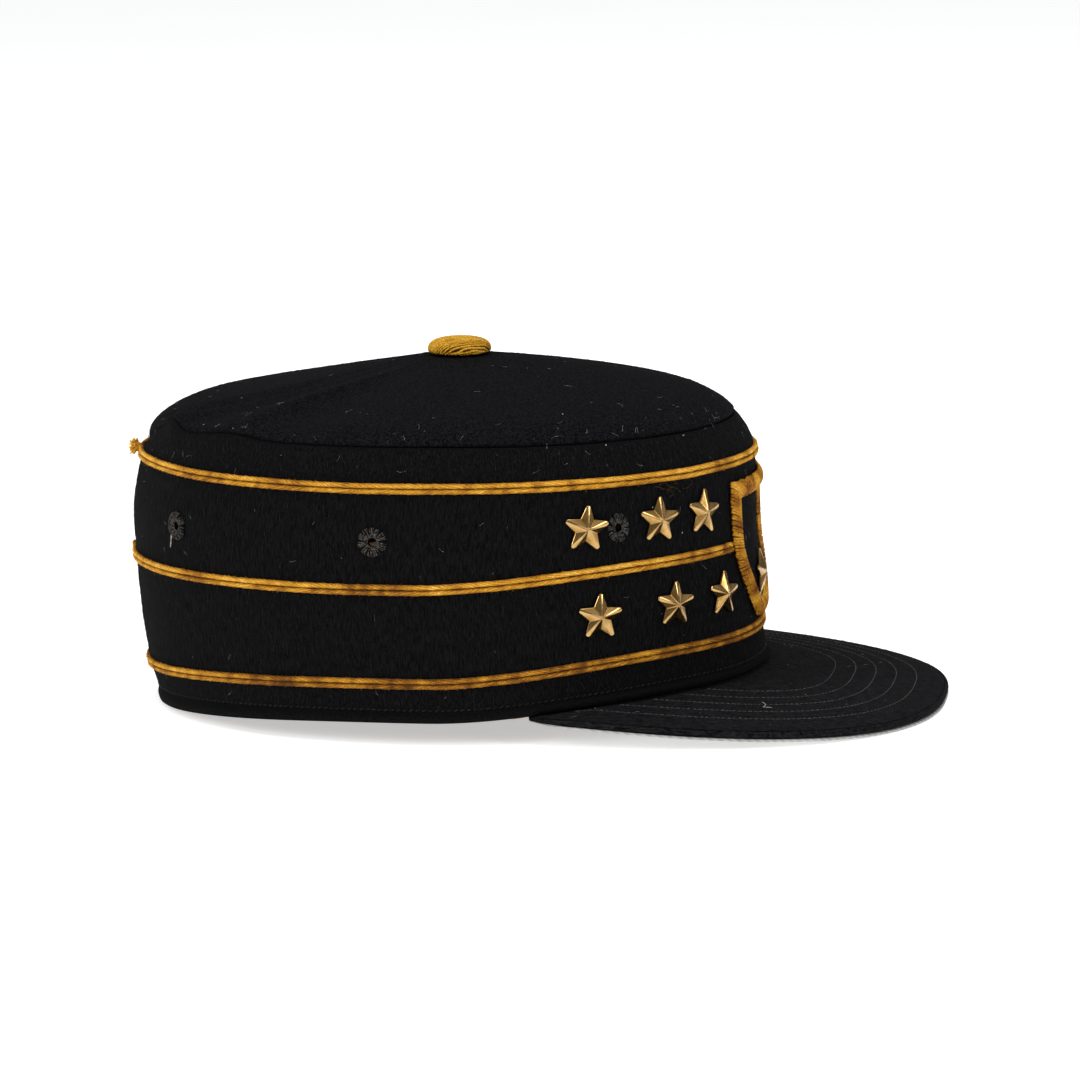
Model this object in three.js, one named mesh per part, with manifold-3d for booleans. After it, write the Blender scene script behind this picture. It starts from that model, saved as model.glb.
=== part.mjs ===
// A black wool pillbox cap with gold braid stripes, brass stars, a covered button and a stitched visor.
// Millimetres and degrees. +X is the front, +Z is up. At Z = 0 it rests on its back rim and visor edge.
import * as THREE from "three";
import { mergeVertices } from "three/addons/utils/BufferGeometryUtils.js";
import Module from "manifold-3d";

const wasm = await Module();
wasm.setup();

// Cloth and fits
const CLOTH = 2.4; // thickness of the wool wall and top
const GAP = 0.3; // clearance between pieces that lie on each other
const AROUND = 64; // facets round the crown

// Levels of the crown wall from the rim to the top seam, with their heights at the back, sides and front.
// long and wide are the half sizes of each oval, x is its centre, and slump is its share of the back sag.
const CROWN_ROWS = [
  { name: "rim", back: -1.0, side: 7.6, front: 13.4, long: 106.0, wide: 85.6, x: -26.8, slump: 0 },
  { name: "hem_roll", back: 1.4, side: 9.7, front: 15.4, long: 107.5, wide: 87.0, x: -26.9, slump: 0 },
  { name: "hem_stitch", back: 5.0, side: 11.9, front: 17.3, long: 106.8, wide: 86.4, x: -27.5, slump: 0 },
  { name: "stripe_bottom", back: 13.8, side: 21.4, front: 27.3, long: 107.2, wide: 87.0, x: -29.3, slump: 0 },
  { name: "low_belly", back: 32.0, side: 37.3, front: 42.6, long: 108.3, wide: 87.9, x: -30.6, slump: 0 },
  { name: "stripe_middle", back: 51.2, side: 53.1, front: 58.0, long: 108.4, wide: 88.0, x: -31.7, slump: 0 },
  { name: "high_belly", back: 69.0, side: 70.0, front: 72.3, long: 108.4, wide: 88.0, x: -32.2, slump: 0 },
  { name: "stripe_top", back: 86.9, side: 86.6, front: 86.4, long: 106.4, wide: 86.6, x: -30.8, slump: 0 },
  { name: "shoulder", back: 94.2, side: 94.0, front: 93.4, long: 104.5, wide: 85.4, x: -31.6, slump: 0.53 },
  { name: "seam", back: 100.4, side: 100.0, front: 99.0, long: 101.8, wide: 83.2, x: -32.9, slump: 1 },
];
const FRONT_CLIMB = { from: 0.05, to: 0.85 }; // a level climbs to its front height over the visor's corners

// The top seam sags at the back, pokes up in a corner on the right of it and lifts at the foot of a ridge.
const SEAM_FOLDS = [
  { name: "back_slump", angle: 182, halfSpan: 36, lift: -11.6 },
  { name: "corner_peak", angle: 216, halfSpan: 9, lift: 2.2 },
  { name: "ridge_foot", angle: 237, halfSpan: 13, lift: 1.4 },
];

// Rings of the top panel from the seam to the button. spread is the share of the seam's oval, the rises are
// shares of the height from seam to button, and bulge is how far the ring leans out over the back slump.
const TOP_ROWS = [
  { spread: 1.0, riseFront: 0.0, riseSide: 0.0, riseBack: 0.0, slump: 1.0, bulge: 0.4 },
  { spread: 0.985, riseFront: 0.08, riseSide: 0.1, riseBack: 0.05, slump: 0.6, bulge: 2.0 },
  { spread: 0.95, riseFront: 0.205, riseSide: 0.22, riseBack: 0.09, slump: 0.24, bulge: 1.5 },
  { spread: 0.88, riseFront: 0.37, riseSide: 0.35, riseBack: 0.15, slump: 0.05, bulge: 0.4 },
  { spread: 0.76, riseFront: 0.535, riseSide: 0.485, riseBack: 0.26, slump: 0, bulge: 0 },
  { spread: 0.58, riseFront: 0.705, riseSide: 0.65, riseBack: 0.45, slump: 0, bulge: 0 },
  { spread: 0.34, riseFront: 0.885, riseSide: 0.835, riseBack: 0.73, slump: 0, bulge: 0 },
  { spread: 0.12, riseFront: 1.0, riseSide: 1.0, riseBack: 1.0, slump: 0, bulge: 0 },
];
const TOP_CENTRE = { x: -25.7, height: 119.2, lift: 0.5 };

// Soft folds that run from the seam towards the button, as ridges and hollows.
const TOP_FOLDS = [
  { name: "corner_hollow", angle: 208, halfSpan: 10, lift: -2.4 },
  { name: "hollow_behind_ridge", angle: 222, halfSpan: 10, lift: -1.6 },
  { name: "ridge", angle: 237, halfSpan: 10, lift: 1.8 },
  { name: "hollow_before_ridge", angle: 254, halfSpan: 16, lift: -1.4 },
];

// Covered button on the top
const BUTTON = { radius: 11.1, height: 5.6, edge: 1.8, facets: 24 };

// Soutache braid, two cords side by side with a groove between them
const BRAID = { width: 3.9, cord: 1.5, groove: 0.9, jointAngle: 189, jointGap: 0.8 };
const FRAY = { knot: 1.3, length: 3.1, root: 0.8, spread: 72, locks: 7 };

// Brass stars in two rows, a share of the way up between two stripes and at angles from the front
const STAR = { radius: 8.2, innerRadius: 3.75, edge: 0.7, height: 3.5, points: 5 };
const STAR_ROWS = [
  { name: "upper", below: "stripe_middle", above: "stripe_top", share: 0.5, places: [55.2, 39.8, 27.6] },
  { name: "lower", below: "stripe_bottom", above: "stripe_middle", share: 0.545, places: [53.6, 37.1, 22.7] },
];
const FRONT_STAR = { angle: 0, share: 0.57 };

// Stitched eyelets that air the crown, three on each side
const EYELET = { hole: 1.6, outer: 4.8, height: 0.9, facets: 10, share: 0.47 };
const EYELET_ANGLES = [48.7, 93.6, 137.6];

// Shield outline worked in satin stitch on the front
const SHIELD = { halfWidth: 26.5, top: 79.4, turn: 62.0, bottom: 30.6, foot: 10.5 };
const SHIELD_STROKE = { width: 5.4, thick: 2.3 };
const SHIELD_POINTS = { side: 12, foot: 5, top: 10 };
const SHIELD_SECTION = [
  { across: 0, proud: 0.4 },
  { across: 0.5, proud: 1 },
  { across: 1, proud: 0.4 },
];

// Visor: where it leaves the rim, its widest place, its tip, and how square its plan is
const VISOR = { cornerAngle: 69, wideX: 25.5, wideShare: 0.72, halfWidth: 86.9, tipX: 142.0, square: 2.5 };
const VISOR_PLY = { top: 2.4, under: 1.0, gap: 0.25, cornerShare: 0.3, tuck: 2.1 };
const VISOR_RISE = { restX: 131.3, power: 1.25, camber: 0.4 };
const VISOR_GRID = { across: 34, rows: 5 };

// Leather sweatband inside the rim, which shows a little below it at the right end of the visor
const BAND = { leather: 1.2, height: 32, clear: 0.45, foot: 0.6 };
const BAND_PEEK = { name: "peek", angle: 289, halfSpan: 6, lift: -1.5 };

const WOOL = { color: 0x17171a, roughness: 0.95, metalness: 0 };
const GOLD_YARN = { color: 0xc98f1e, roughness: 0.8, metalness: 0 };
const BRASS = { color: 0xc9a455, roughness: 0.3, metalness: 1 };
const BLACK_THREAD = { color: 0x242427, roughness: 0.7, metalness: 0 };
const GREY_CLOTH = { color: 0xb9bab8, roughness: 0.9, metalness: 0 };
const TAN_LEATHER = { color: 0xa5794b, roughness: 0.6, metalness: 0 };

const radians = THREE.MathUtils.degToRad;
const cap = new THREE.Group();

function addPiece(name, geometry, finish) {
  const mesh = new THREE.Mesh(geometry, new THREE.MeshStandardMaterial(finish));
  mesh.name = name;
  cap.add(mesh);
  return mesh;
}

function geometryFrom(points, triangles) {
  const geometry = new THREE.BufferGeometry().setFromPoints(points);
  geometry.setIndex(triangles);
  geometry.computeVertexNormals();
  return geometry;
}

// A closed wall between two grids of points that match row for row. It runs all the way round, or it
// ends at its first and last columns, and poles close its last row over a centre.
function wallBetween(outer, inner, wrap, poles) {
  const rows = outer.length;
  const columns = outer[0].length;
  const points = [...outer.flat(), ...inner.flat()];
  const spans = wrap ? columns : columns - 1;
  const triangles = [];
  const at = (side, row, column) => (side * rows + row) * columns + (column % columns);
  const quad = (a, b, c, d) => triangles.push(a, b, c, a, c, d);
  for (let column = 0; column < spans; column++) {
    for (let row = 0; row < rows - 1; row++) {
      quad(at(0, row, column), at(0, row, column + 1), at(0, row + 1, column + 1), at(0, row + 1, column));
      quad(at(1, row, column), at(1, row + 1, column), at(1, row + 1, column + 1), at(1, row, column + 1));
    }
    quad(at(0, 0, column), at(1, 0, column), at(1, 0, column + 1), at(0, 0, column + 1));
    const last = rows - 1;
    if (poles) {
      triangles.push(at(0, last, column), at(0, last, column + 1), points.length);
      triangles.push(at(1, last, column + 1), at(1, last, column), points.length + 1);
    } else {
      quad(at(0, last, column), at(0, last, column + 1), at(1, last, column + 1), at(1, last, column));
    }
  }
  for (let row = 0; !wrap && row < rows - 1; row++) {
    const end = columns - 1;
    quad(at(0, row, 0), at(0, row + 1, 0), at(1, row + 1, 0), at(1, row, 0));
    quad(at(0, row, end), at(1, row, end), at(1, row + 1, end), at(0, row + 1, end));
  }
  return geometryFrom(poles ? [...points, ...poles] : points, triangles);
}

// A bar from a list of matching section loops, closed by flat ends.
function barThrough(loops) {
  const count = loops[0].length;
  const triangles = [];
  for (let step = 0; step < loops.length - 1; step++) {
    for (let i = 0; i < count; i++) {
      const a = step * count + i;
      const b = step * count + ((i + 1) % count);
      triangles.push(a, b, b + count, a, b + count, a + count);
    }
  }
  const end = (loops.length - 1) * count;
  for (let i = 1; i < count - 1; i++) {
    triangles.push(0, i + 1, i, end, end + i, end + i + 1);
  }
  return geometryFrom(loops.flat(), triangles);
}

function solidOf(geometry) {
  const bare = geometry.clone().deleteAttribute("normal").deleteAttribute("uv");
  const merged = mergeVertices(bare, 1e-3);
  return new wasm.Manifold(
    new wasm.Mesh({
      numProp: 3,
      vertProperties: merged.attributes.position.array,
      triVerts: new Uint32Array(merged.index.array),
    }),
  );
}

function geometryOf(solid) {
  const mesh = solid.getMesh();
  const geometry = new THREE.BufferGeometry();
  geometry.setAttribute("position", new THREE.BufferAttribute(mesh.vertProperties, 3));
  geometry.setIndex(new THREE.BufferAttribute(mesh.triVerts, 1));
  geometry.computeVertexNormals();
  return geometry;
}

// How much of a fold is felt at an angle, from 1 on its line to 0 at its edge.
function foldShare(fold, angle) {
  const away = Math.abs(THREE.MathUtils.euclideanModulo(angle - fold.angle + 180, 360) - 180);
  return away < fold.halfSpan ? Math.cos(radians((90 * away) / fold.halfSpan)) ** 2 : 0;
}

function foldLift(folds, angle) {
  return folds.reduce((sum, fold) => sum + fold.lift * foldShare(fold, angle), 0);
}

// A value given for the front, sides and back, blended for an angle from the front.
function roundBlend(front, side, back, angle) {
  const along = Math.cos(radians(angle));
  return side + ((along > 0 ? front : back) - side) * along * along;
}

function crownRow(name) {
  return CROWN_ROWS.findIndex((row) => row.name === name);
}

// The height of a crown level, which climbs early towards the front and then runs nearly flat.
function levelHeight(row, angle) {
  const along = Math.cos(radians(angle));
  if (along > 0) {
    const { from, to } = FRONT_CLIMB;
    return THREE.MathUtils.lerp(row.side, row.front, THREE.MathUtils.smoothstep(along, from, to));
  }
  return THREE.MathUtils.lerp(row.side, row.back, along * along);
}

// A point of a crown level. The rim lies flat where it rests.
function levelPoint(row, angle) {
  const turn = radians(angle);
  const height = levelHeight(row, angle) + row.slump * foldLift(SEAM_FOLDS, angle);
  return new THREE.Vector3(
    row.x + row.long * Math.cos(turn),
    row.wide * Math.sin(turn),
    Math.max(0, height),
  );
}

// A point of the outer wall between two levels, with the way out of the wall and the way up along it.
function wallPlace(angle, level) {
  const low = Math.min(Math.floor(level), CROWN_ROWS.length - 2);
  const on = (turn) =>
    levelPoint(CROWN_ROWS[low], turn).lerp(levelPoint(CROWN_ROWS[low + 1], turn), level - low);
  const point = on(angle);
  const along = on(angle + 0.5).sub(on(angle - 0.5)).normalize();
  const rise = levelPoint(CROWN_ROWS[low + 1], angle).sub(levelPoint(CROWN_ROWS[low], angle)).normalize();
  const out = along.clone().cross(rise).normalize();
  return { point, along, out, up: out.clone().cross(along) };
}

// The level of the wall that has a given height at an angle.
function levelAtHeight(angle, height) {
  for (let low = 0; low < CROWN_ROWS.length - 1; low++) {
    const from = levelPoint(CROWN_ROWS[low], angle).z;
    const to = levelPoint(CROWN_ROWS[low + 1], angle).z;
    if (height <= to) {
      return low + Math.max(0, (height - from) / (to - from));
    }
  }
  return CROWN_ROWS.length - 1;
}

// The smooth way out of the wall at a level, halfway between the slopes below and above it.
function levelOut(angle, row) {
  const below = wallPlace(angle, Math.max(0, row - 0.5)).out;
  const above = wallPlace(angle, Math.min(CROWN_ROWS.length - 1.5, row + 0.5)).out;
  const out = below.add(above);
  if (row === 0) {
    out.setZ(0);
  }
  return out.normalize();
}

const angles = Array.from({ length: AROUND }, (_, i) => (360 * i) / AROUND);

// Places a mesh with its own Z out of the wall and its own Y up along it.
function setOnWall(mesh, angle, level, lift) {
  const place = wallPlace(angle, level);
  mesh.matrix.makeBasis(place.along, place.up, place.out);
  mesh.matrix.setPosition(place.point.addScaledVector(place.out, lift));
  mesh.matrixAutoUpdate = false;
  return mesh;
}

function levelBetween(below, above, share) {
  return THREE.MathUtils.lerp(crownRow(below), crownRow(above), share);
}

// A point of the top panel on one of its rings.
function topPoint(row, angle) {
  const seam = levelPoint(CROWN_ROWS[crownRow("seam")], angle);
  const sag = foldLift(SEAM_FOLDS, angle);
  const level = seam.z - sag + TOP_CENTRE.lift;
  const rise = roundBlend(row.riseFront, row.riseSide, row.riseBack, angle);
  const reach = 9.5 * row.spread ** 3 * (1 - row.spread);
  const fold = foldLift(TOP_FOLDS, angle) * reach;
  const followed = sag < 0 ? row.slump : row.spread ** 6;
  const point = new THREE.Vector3(TOP_CENTRE.x, 0, 0).lerp(seam.setZ(0), row.spread);
  point.x -= row.bulge * foldShare(SEAM_FOLDS[0], angle);
  point.z = THREE.MathUtils.lerp(level, TOP_CENTRE.height, rise) + followed * sag + fold;
  return point;
}

// The way out of the top panel between two of its rings.
function topOut(angle, low, high) {
  const along = topPoint(TOP_ROWS[low], angle + 2).sub(topPoint(TOP_ROWS[low], angle - 2));
  return along.cross(topPoint(TOP_ROWS[high], angle).sub(topPoint(TOP_ROWS[low], angle))).normalize();
}

// The way out at the top seam, along the mitre between wall and top.
function seamOut(angle) {
  const wall = wallPlace(angle, CROWN_ROWS.length - 1.5).out;
  const mitre = topOut(angle, 0, 1).add(wall).normalize();
  return mitre.divideScalar(mitre.dot(wall));
}

// Crown wall, with its eyelet holes
const wallOuter = CROWN_ROWS.map((row) => angles.map((angle) => levelPoint(row, angle)));
const wallInner = CROWN_ROWS.map((row, index) =>
  angles.map((angle) => {
    const out = row.name === "seam" ? seamOut(angle) : levelOut(angle, index);
    return levelPoint(row, angle).addScaledVector(out, -CLOTH);
  }),
);
const eyeletLevel = levelBetween("stripe_middle", "stripe_top", EYELET.share);
const eyeletPlaces = EYELET_ANGLES.flatMap((angle, index) => [
  { name: `eyelet_right_${index + 1}`, angle: 360 - angle },
  { name: `eyelet_left_${index + 1}`, angle },
]);
let wallSolid = solidOf(wallBetween(wallOuter, wallInner, true));
for (const { angle } of eyeletPlaces) {
  const drill = new THREE.CylinderGeometry(EYELET.hole, EYELET.hole, CLOTH * 6, EYELET.facets);
  const tool = setOnWall(new THREE.Mesh(drill.rotateX(Math.PI / 2)), angle, eyeletLevel, 0);
  wallSolid = wallSolid.subtract(solidOf(drill.applyMatrix4(tool.matrix)));
}
addPiece("crown_side", geometryOf(wallSolid), WOOL);

// Top panel
const topOuter = TOP_ROWS.map((row) => angles.map((angle) => topPoint(row, angle)));
const topInner = TOP_ROWS.map((row, index) =>
  angles.map((angle) => {
    const out = index ? topOut(angle, index - 1, Math.min(index + 1, TOP_ROWS.length - 1)) : seamOut(angle);
    return topPoint(row, angle).addScaledVector(out, -CLOTH);
  }),
);
const topPoles = [TOP_CENTRE.height, TOP_CENTRE.height - CLOTH].map(
  (height) => new THREE.Vector3(TOP_CENTRE.x, 0, height),
);
addPiece("crown_top", wallBetween(topOuter, topInner, true, topPoles), WOOL);

// Button
const buttonProfile = [
  [0, 0],
  [BUTTON.radius - BUTTON.edge, 0],
  [BUTTON.radius, BUTTON.edge],
  [BUTTON.radius * 0.93, BUTTON.height * 0.6],
  [BUTTON.radius * 0.66, BUTTON.height * 0.88],
  [0, BUTTON.height],
].map(([radius, height]) => new THREE.Vector2(radius, height));
const button = addPiece("top_button", new THREE.LatheGeometry(buttonProfile, BUTTON.facets), GOLD_YARN);
button.rotation.x = Math.PI / 2;
button.position.set(TOP_CENTRE.x, 0, TOP_CENTRE.height + GAP);

// Braid stripes
function braidSection(angle, level) {
  const { point, along } = wallPlace(angle, level);
  const out = levelOut(angle, level);
  const up = out.clone().cross(along);
  const half = BRAID.width / 2;
  const outline = [
    [-half, 0.2],
    [0, 0],
    [half, 0.2],
    [half * 0.55, BRAID.cord],
    [0, BRAID.groove],
    [-half * 0.55, BRAID.cord],
  ];
  return outline.map(([rise, proud]) =>
    point.clone().addScaledVector(up, rise).addScaledVector(out, proud + GAP),
  );
}

function addStripe(name, rowName, from, to) {
  const level = crownRow(rowName);
  const steps = Math.round((AROUND * (to - from)) / 360);
  const loops = Array.from({ length: steps + 1 }, (_, i) =>
    braidSection(THREE.MathUtils.lerp(from, to, i / steps), level),
  );
  addPiece(name, barThrough(loops), GOLD_YARN);
}

const jointStart = BRAID.jointAngle + BRAID.jointGap / 2;
const jointEnd = BRAID.jointAngle - BRAID.jointGap / 2;
addStripe("stripe_top", "stripe_top", jointStart - 360, jointEnd);
addStripe("stripe_bottom", "stripe_bottom", jointStart - 360, jointEnd);

// Shield outline on the front, and the middle stripe that stops at each side of it
function shieldOutline(inset) {
  const half = SHIELD.halfWidth - inset;
  const foot = SHIELD.foot - inset * 0.55;
  const bottom = SHIELD.bottom + inset;
  const top = SHIELD.top - inset;
  const side = new THREE.Path();
  side.moveTo(foot, bottom + 1);
  side.quadraticCurveTo(half, THREE.MathUtils.lerp(bottom, SHIELD.turn, 0.5), half, SHIELD.turn);
  side.lineTo(half, top);
  const right = side.getSpacedPoints(SHIELD_POINTS.side);
  const left = right.map((p) => new THREE.Vector2(-p.x, p.y)).reverse();
  const between = (from, to, count, drop) =>
    Array.from({ length: count }, (_, i) => {
      const share = (i + 1) / (count + 1);
      const point = from.clone().lerp(to, share);
      point.y -= drop * (1 - (2 * share - 1) ** 2);
      return point;
    });
  const across = between(right.at(-1), left[0], SHIELD_POINTS.top, 0);
  const below = between(left.at(-1), right[0], SHIELD_POINTS.foot, 1);
  return [...right, ...across, ...left, ...below];
}

function frontAngle(across) {
  return THREE.MathUtils.radToDeg(across / CROWN_ROWS[crownRow("stripe_middle")].wide);
}

function shieldFace(lift) {
  return SHIELD_SECTION.map(({ across, proud }) =>
    shieldOutline(across * SHIELD_STROKE.width).map((flat) => {
      const angle = frontAngle(flat.x);
      const place = wallPlace(angle, levelAtHeight(angle, flat.y));
      return place.point.addScaledVector(place.out, GAP * 1.5 + lift * proud * SHIELD_STROKE.thick);
    }),
  );
}

addPiece("front_emblem", wallBetween(shieldFace(1), shieldFace(0), true), GOLD_YARN);

const shieldEdge = frontAngle(SHIELD.halfWidth + GAP * 2);
addStripe("stripe_middle_left", "stripe_middle", shieldEdge, jointEnd);
addStripe("stripe_middle_right", "stripe_middle", jointStart, 360 - shieldEdge);

// Frayed end of the top stripe at the back
const frayPlace = wallPlace(BRAID.jointAngle, crownRow("stripe_top"));
const frayLift = GAP * 2 + BRAID.cord + FRAY.knot * 0.8;
const frayRoot = frayPlace.point.clone().addScaledVector(frayPlace.out, frayLift);
let fraySolid = solidOf(new THREE.SphereGeometry(FRAY.knot, 6, 5));
for (let lock = 0; lock < FRAY.locks; lock++) {
  const fan = THREE.MathUtils.lerp(-FRAY.spread, FRAY.spread, lock / (FRAY.locks - 1));
  const spike = new THREE.ConeGeometry(FRAY.root, FRAY.length, 4);
  spike.translate(0, FRAY.length / 2, 0);
  spike.rotateX(radians(lock % 2 ? 24 : -20));
  spike.rotateZ(radians(90 + fan));
  fraySolid = fraySolid.add(solidOf(spike.rotateX(Math.PI / 2)));
}
addPiece("stripe_fray", geometryOf(fraySolid), GOLD_YARN).position.copy(frayRoot);

// Eyelets
const eyeletProfile = [
  [EYELET.hole, 0],
  [EYELET.outer, 0],
  [EYELET.outer - 0.5, EYELET.height * 0.75],
  [EYELET.hole + 0.7, EYELET.height],
  [EYELET.hole, EYELET.height * 0.4],
  [EYELET.hole, 0],
].map(([radius, height]) => new THREE.Vector2(radius, height));
for (const { name, angle } of eyeletPlaces) {
  const ring = new THREE.LatheGeometry(eyeletProfile, EYELET.facets).rotateX(Math.PI / 2);
  setOnWall(addPiece(name, ring, BLACK_THREAD), angle, eyeletLevel, GAP * 1.5);
}

// Stars, turned as ten-sided cones whose every second corner is drawn in
function starGeometry() {
  const profile = [
    [0, 0],
    [STAR.radius, 0],
    [STAR.radius, STAR.edge],
    [0, STAR.height],
  ].map(([radius, height]) => new THREE.Vector2(radius, height));
  const geometry = new THREE.LatheGeometry(profile, STAR.points * 2).rotateX(Math.PI / 2);
  const corners = geometry.getAttribute("position");
  const corner = new THREE.Vector3();
  for (let i = 0; i < corners.count; i++) {
    corner.fromBufferAttribute(corners, i);
    const step = Math.round((Math.atan2(corner.x, corner.y) * STAR.points) / Math.PI);
    const share = step % 2 ? STAR.innerRadius / STAR.radius : 1;
    corners.setXYZ(i, corner.x * share, corner.y * share, corner.z);
  }
  return geometry;
}

for (const { name, below, above, share, places } of STAR_ROWS) {
  places.forEach((angle, index) => {
    const level = levelBetween(below, above, share);
    setOnWall(addPiece(`star_${name}_right_${index + 1}`, starGeometry(), BRASS), -angle, level, GAP * 2);
    setOnWall(addPiece(`star_${name}_left_${index + 1}`, starGeometry(), BRASS), angle, level, GAP * 2);
  });
}
const frontLevel = levelBetween("stripe_bottom", "stripe_middle", FRONT_STAR.share);
setOnWall(addPiece("star_front", starGeometry(), BRASS), FRONT_STAR.angle, frontLevel, GAP * 2);

// Visor, from under the hem to its outer edge
const rim = CROWN_ROWS[crownRow("rim")];

function visorEdge(share) {
  const side = Math.sign(share);
  const from = Math.abs(share) / VISOR.wideShare;
  const corner = levelPoint(rim, VISOR.cornerAngle);
  if (from <= 1) {
    const turn = (Math.PI / 2) * from;
    const power = 2 / VISOR.square;
    const reach = Math.max(0, Math.cos(turn)) ** power;
    return new THREE.Vector3(
      THREE.MathUtils.lerp(VISOR.wideX, VISOR.tipX, reach),
      side * VISOR.halfWidth * Math.sin(turn) ** power,
      0,
    );
  }
  const back = (Math.abs(share) - VISOR.wideShare) / (1 - VISOR.wideShare);
  return new THREE.Vector3(
    THREE.MathUtils.lerp(VISOR.wideX, corner.x, back),
    side * THREE.MathUtils.lerp(VISOR.halfWidth, corner.y + GAP, back * back),
    0,
  );
}

// A point of the visor from its inner edge (0) to its outer edge (1), at a depth below its upper face.
function visorPoint(share, outward, depth) {
  const angle = share * VISOR.cornerAngle;
  const inner = levelPoint(rim, angle).addScaledVector(levelOut(angle, 0), -VISOR_PLY.tuck);
  const edge = visorEdge(share);
  const corner = levelPoint(rim, VISOR.cornerAngle);
  const thin = THREE.MathUtils.lerp(1, VISOR_PLY.cornerShare, Math.abs(share) ** 6);
  const full = VISOR_PLY.top + VISOR_PLY.gap + VISOR_PLY.under;
  const back = Math.max(0, VISOR_RISE.restX - edge.x) / (VISOR_RISE.restX - corner.x);
  const cornerFoot = corner.z - GAP - full * VISOR_PLY.cornerShare;
  edge.z = cornerFoot * Math.min(1, back) ** VISOR_RISE.power + full * thin;
  inner.z -= GAP;
  const camber = VISOR_RISE.camber * 6.75 * outward ** 2 * (1 - outward) * (1 - share * share);
  const point = inner.lerp(edge, outward);
  point.z += camber - depth * thin;
  return point;
}

function addVisorPly(name, from, to, finish) {
  const shares = Array.from({ length: VISOR_GRID.across + 1 }, (_, i) => (2 * i) / VISOR_GRID.across - 1);
  const rows = Array.from({ length: VISOR_GRID.rows + 1 }, (_, i) => 1 - i / VISOR_GRID.rows);
  const face = (depth) => rows.map((outward) => shares.map((share) => visorPoint(share, outward, depth)));
  addPiece(name, wallBetween(face(from), face(to), false), finish);
}

addVisorPly("visor_top", 0, VISOR_PLY.top, WOOL);
addVisorPly(
  "visor_under",
  VISOR_PLY.top + VISOR_PLY.gap,
  VISOR_PLY.top + VISOR_PLY.gap + VISOR_PLY.under,
  GREY_CLOTH,
);

// Sweatband
function bandPoint(angle, share, depth) {
  const foot = levelPoint(rim, angle).z + BAND.foot + foldLift([BAND_PEEK], angle);
  const height = foot + BAND.height * share;
  const level = levelAtHeight(angle, height);
  const place = wallPlace(angle, level);
  const point = place.point.addScaledVector(place.out.setZ(0).normalize(), -(CLOTH + BAND.clear + depth));
  return point.setZ(height);
}

const bandRows = [0, 0.3, 1];
const bandFace = (depth) => bandRows.map((share) => angles.map((angle) => bandPoint(angle, share, depth)));
addPiece("sweatband", wallBetween(bandFace(0), bandFace(BAND.leather), true), TAN_LEATHER);

export default cap;
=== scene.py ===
import math
import random

import bmesh
import bpy
import numpy as np
from mathutils import Matrix, Vector, kdtree, noise


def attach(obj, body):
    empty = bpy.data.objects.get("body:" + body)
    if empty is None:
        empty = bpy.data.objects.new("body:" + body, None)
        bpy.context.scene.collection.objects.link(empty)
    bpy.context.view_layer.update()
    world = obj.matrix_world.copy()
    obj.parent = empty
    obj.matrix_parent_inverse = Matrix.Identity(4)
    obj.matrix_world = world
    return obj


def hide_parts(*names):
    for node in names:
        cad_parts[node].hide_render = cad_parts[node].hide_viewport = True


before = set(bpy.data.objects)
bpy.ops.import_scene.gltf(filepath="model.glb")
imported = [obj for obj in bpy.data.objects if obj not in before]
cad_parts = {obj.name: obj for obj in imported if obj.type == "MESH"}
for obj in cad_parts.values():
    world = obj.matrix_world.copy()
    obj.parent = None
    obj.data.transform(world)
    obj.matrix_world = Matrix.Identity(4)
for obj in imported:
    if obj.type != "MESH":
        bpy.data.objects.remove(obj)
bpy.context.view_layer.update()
scene = bpy.context.scene
mm = 0.001  # the tables below are in millimetres, Blender works in metres
chance = random.Random(11)
draw = np.random.default_rng(11)
print("frame loaded:", len(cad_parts), "nodes")


# small tools for working by hand in code
def deselect():
    if bpy.context.object and bpy.context.object.mode != "OBJECT":
        bpy.ops.object.mode_set(mode="OBJECT")
    bpy.ops.object.select_all(action="DESELECT")


def makeActive(piece):
    deselect()
    piece.select_set(True)
    bpy.context.view_layer.objects.active = piece


def editAll(piece):
    makeActive(piece)
    bpy.ops.object.mode_set(mode="EDIT")
    bpy.ops.mesh.select_mode(type="VERT")
    bpy.ops.mesh.select_all(action="SELECT")


def pickPoints(piece, test):
    # in edit mode, selects the points whose place passes the test
    bpy.ops.mesh.select_all(action="DESELECT")
    inside = bmesh.from_edit_mesh(piece.data)
    for point in inside.verts:
        point.select = bool(test(point.co))
    inside.select_flush_mode()
    bmesh.update_edit_mesh(piece.data)


def applyModifier(piece, kind, **settings):
    makeActive(piece)
    added = piece.modifiers.new(kind.title(), kind)
    for key, value in settings.items():
        setattr(added, key, value)
    bpy.ops.object.modifier_apply(modifier=added.name)


def finishPiece(piece, material, slot, *nodes):
    piece.data.materials.clear()
    piece.data.materials.append(material)
    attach(piece, "root")
    if nodes:
        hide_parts(*nodes)
    return piece


def joinPieces(name, pieces):
    deselect()
    for piece in pieces:
        piece.select_set(True)
    bpy.context.view_layer.objects.active = pieces[0]
    if len(pieces) > 1:
        bpy.ops.object.join()
    joined = bpy.context.object
    joined.name = name
    return joined


def unit(vectors):
    return vectors / np.linalg.norm(vectors, axis=-1, keepdims=True)


def setAttribute(piece, name, values):
    layer = piece.data.attributes.new(name, "FLOAT", "POINT")
    layer.data.foreach_set("value", np.asarray(values, np.float32))


def pointsOf(piece):
    places = np.empty(len(piece.data.vertices) * 3)
    piece.data.vertices.foreach_get("co", places)
    return places.reshape(-1, 3) / mm


# how far along a line each of its points lies, and what it reads at a run along it
def runOf(line):
    return np.concatenate([[0], np.cumsum(np.linalg.norm(np.diff(line, axis=0), axis=1))])


def readLine(line, run, at):
    return np.stack([np.interp(at, run, column) for column in line.T], -1)


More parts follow.
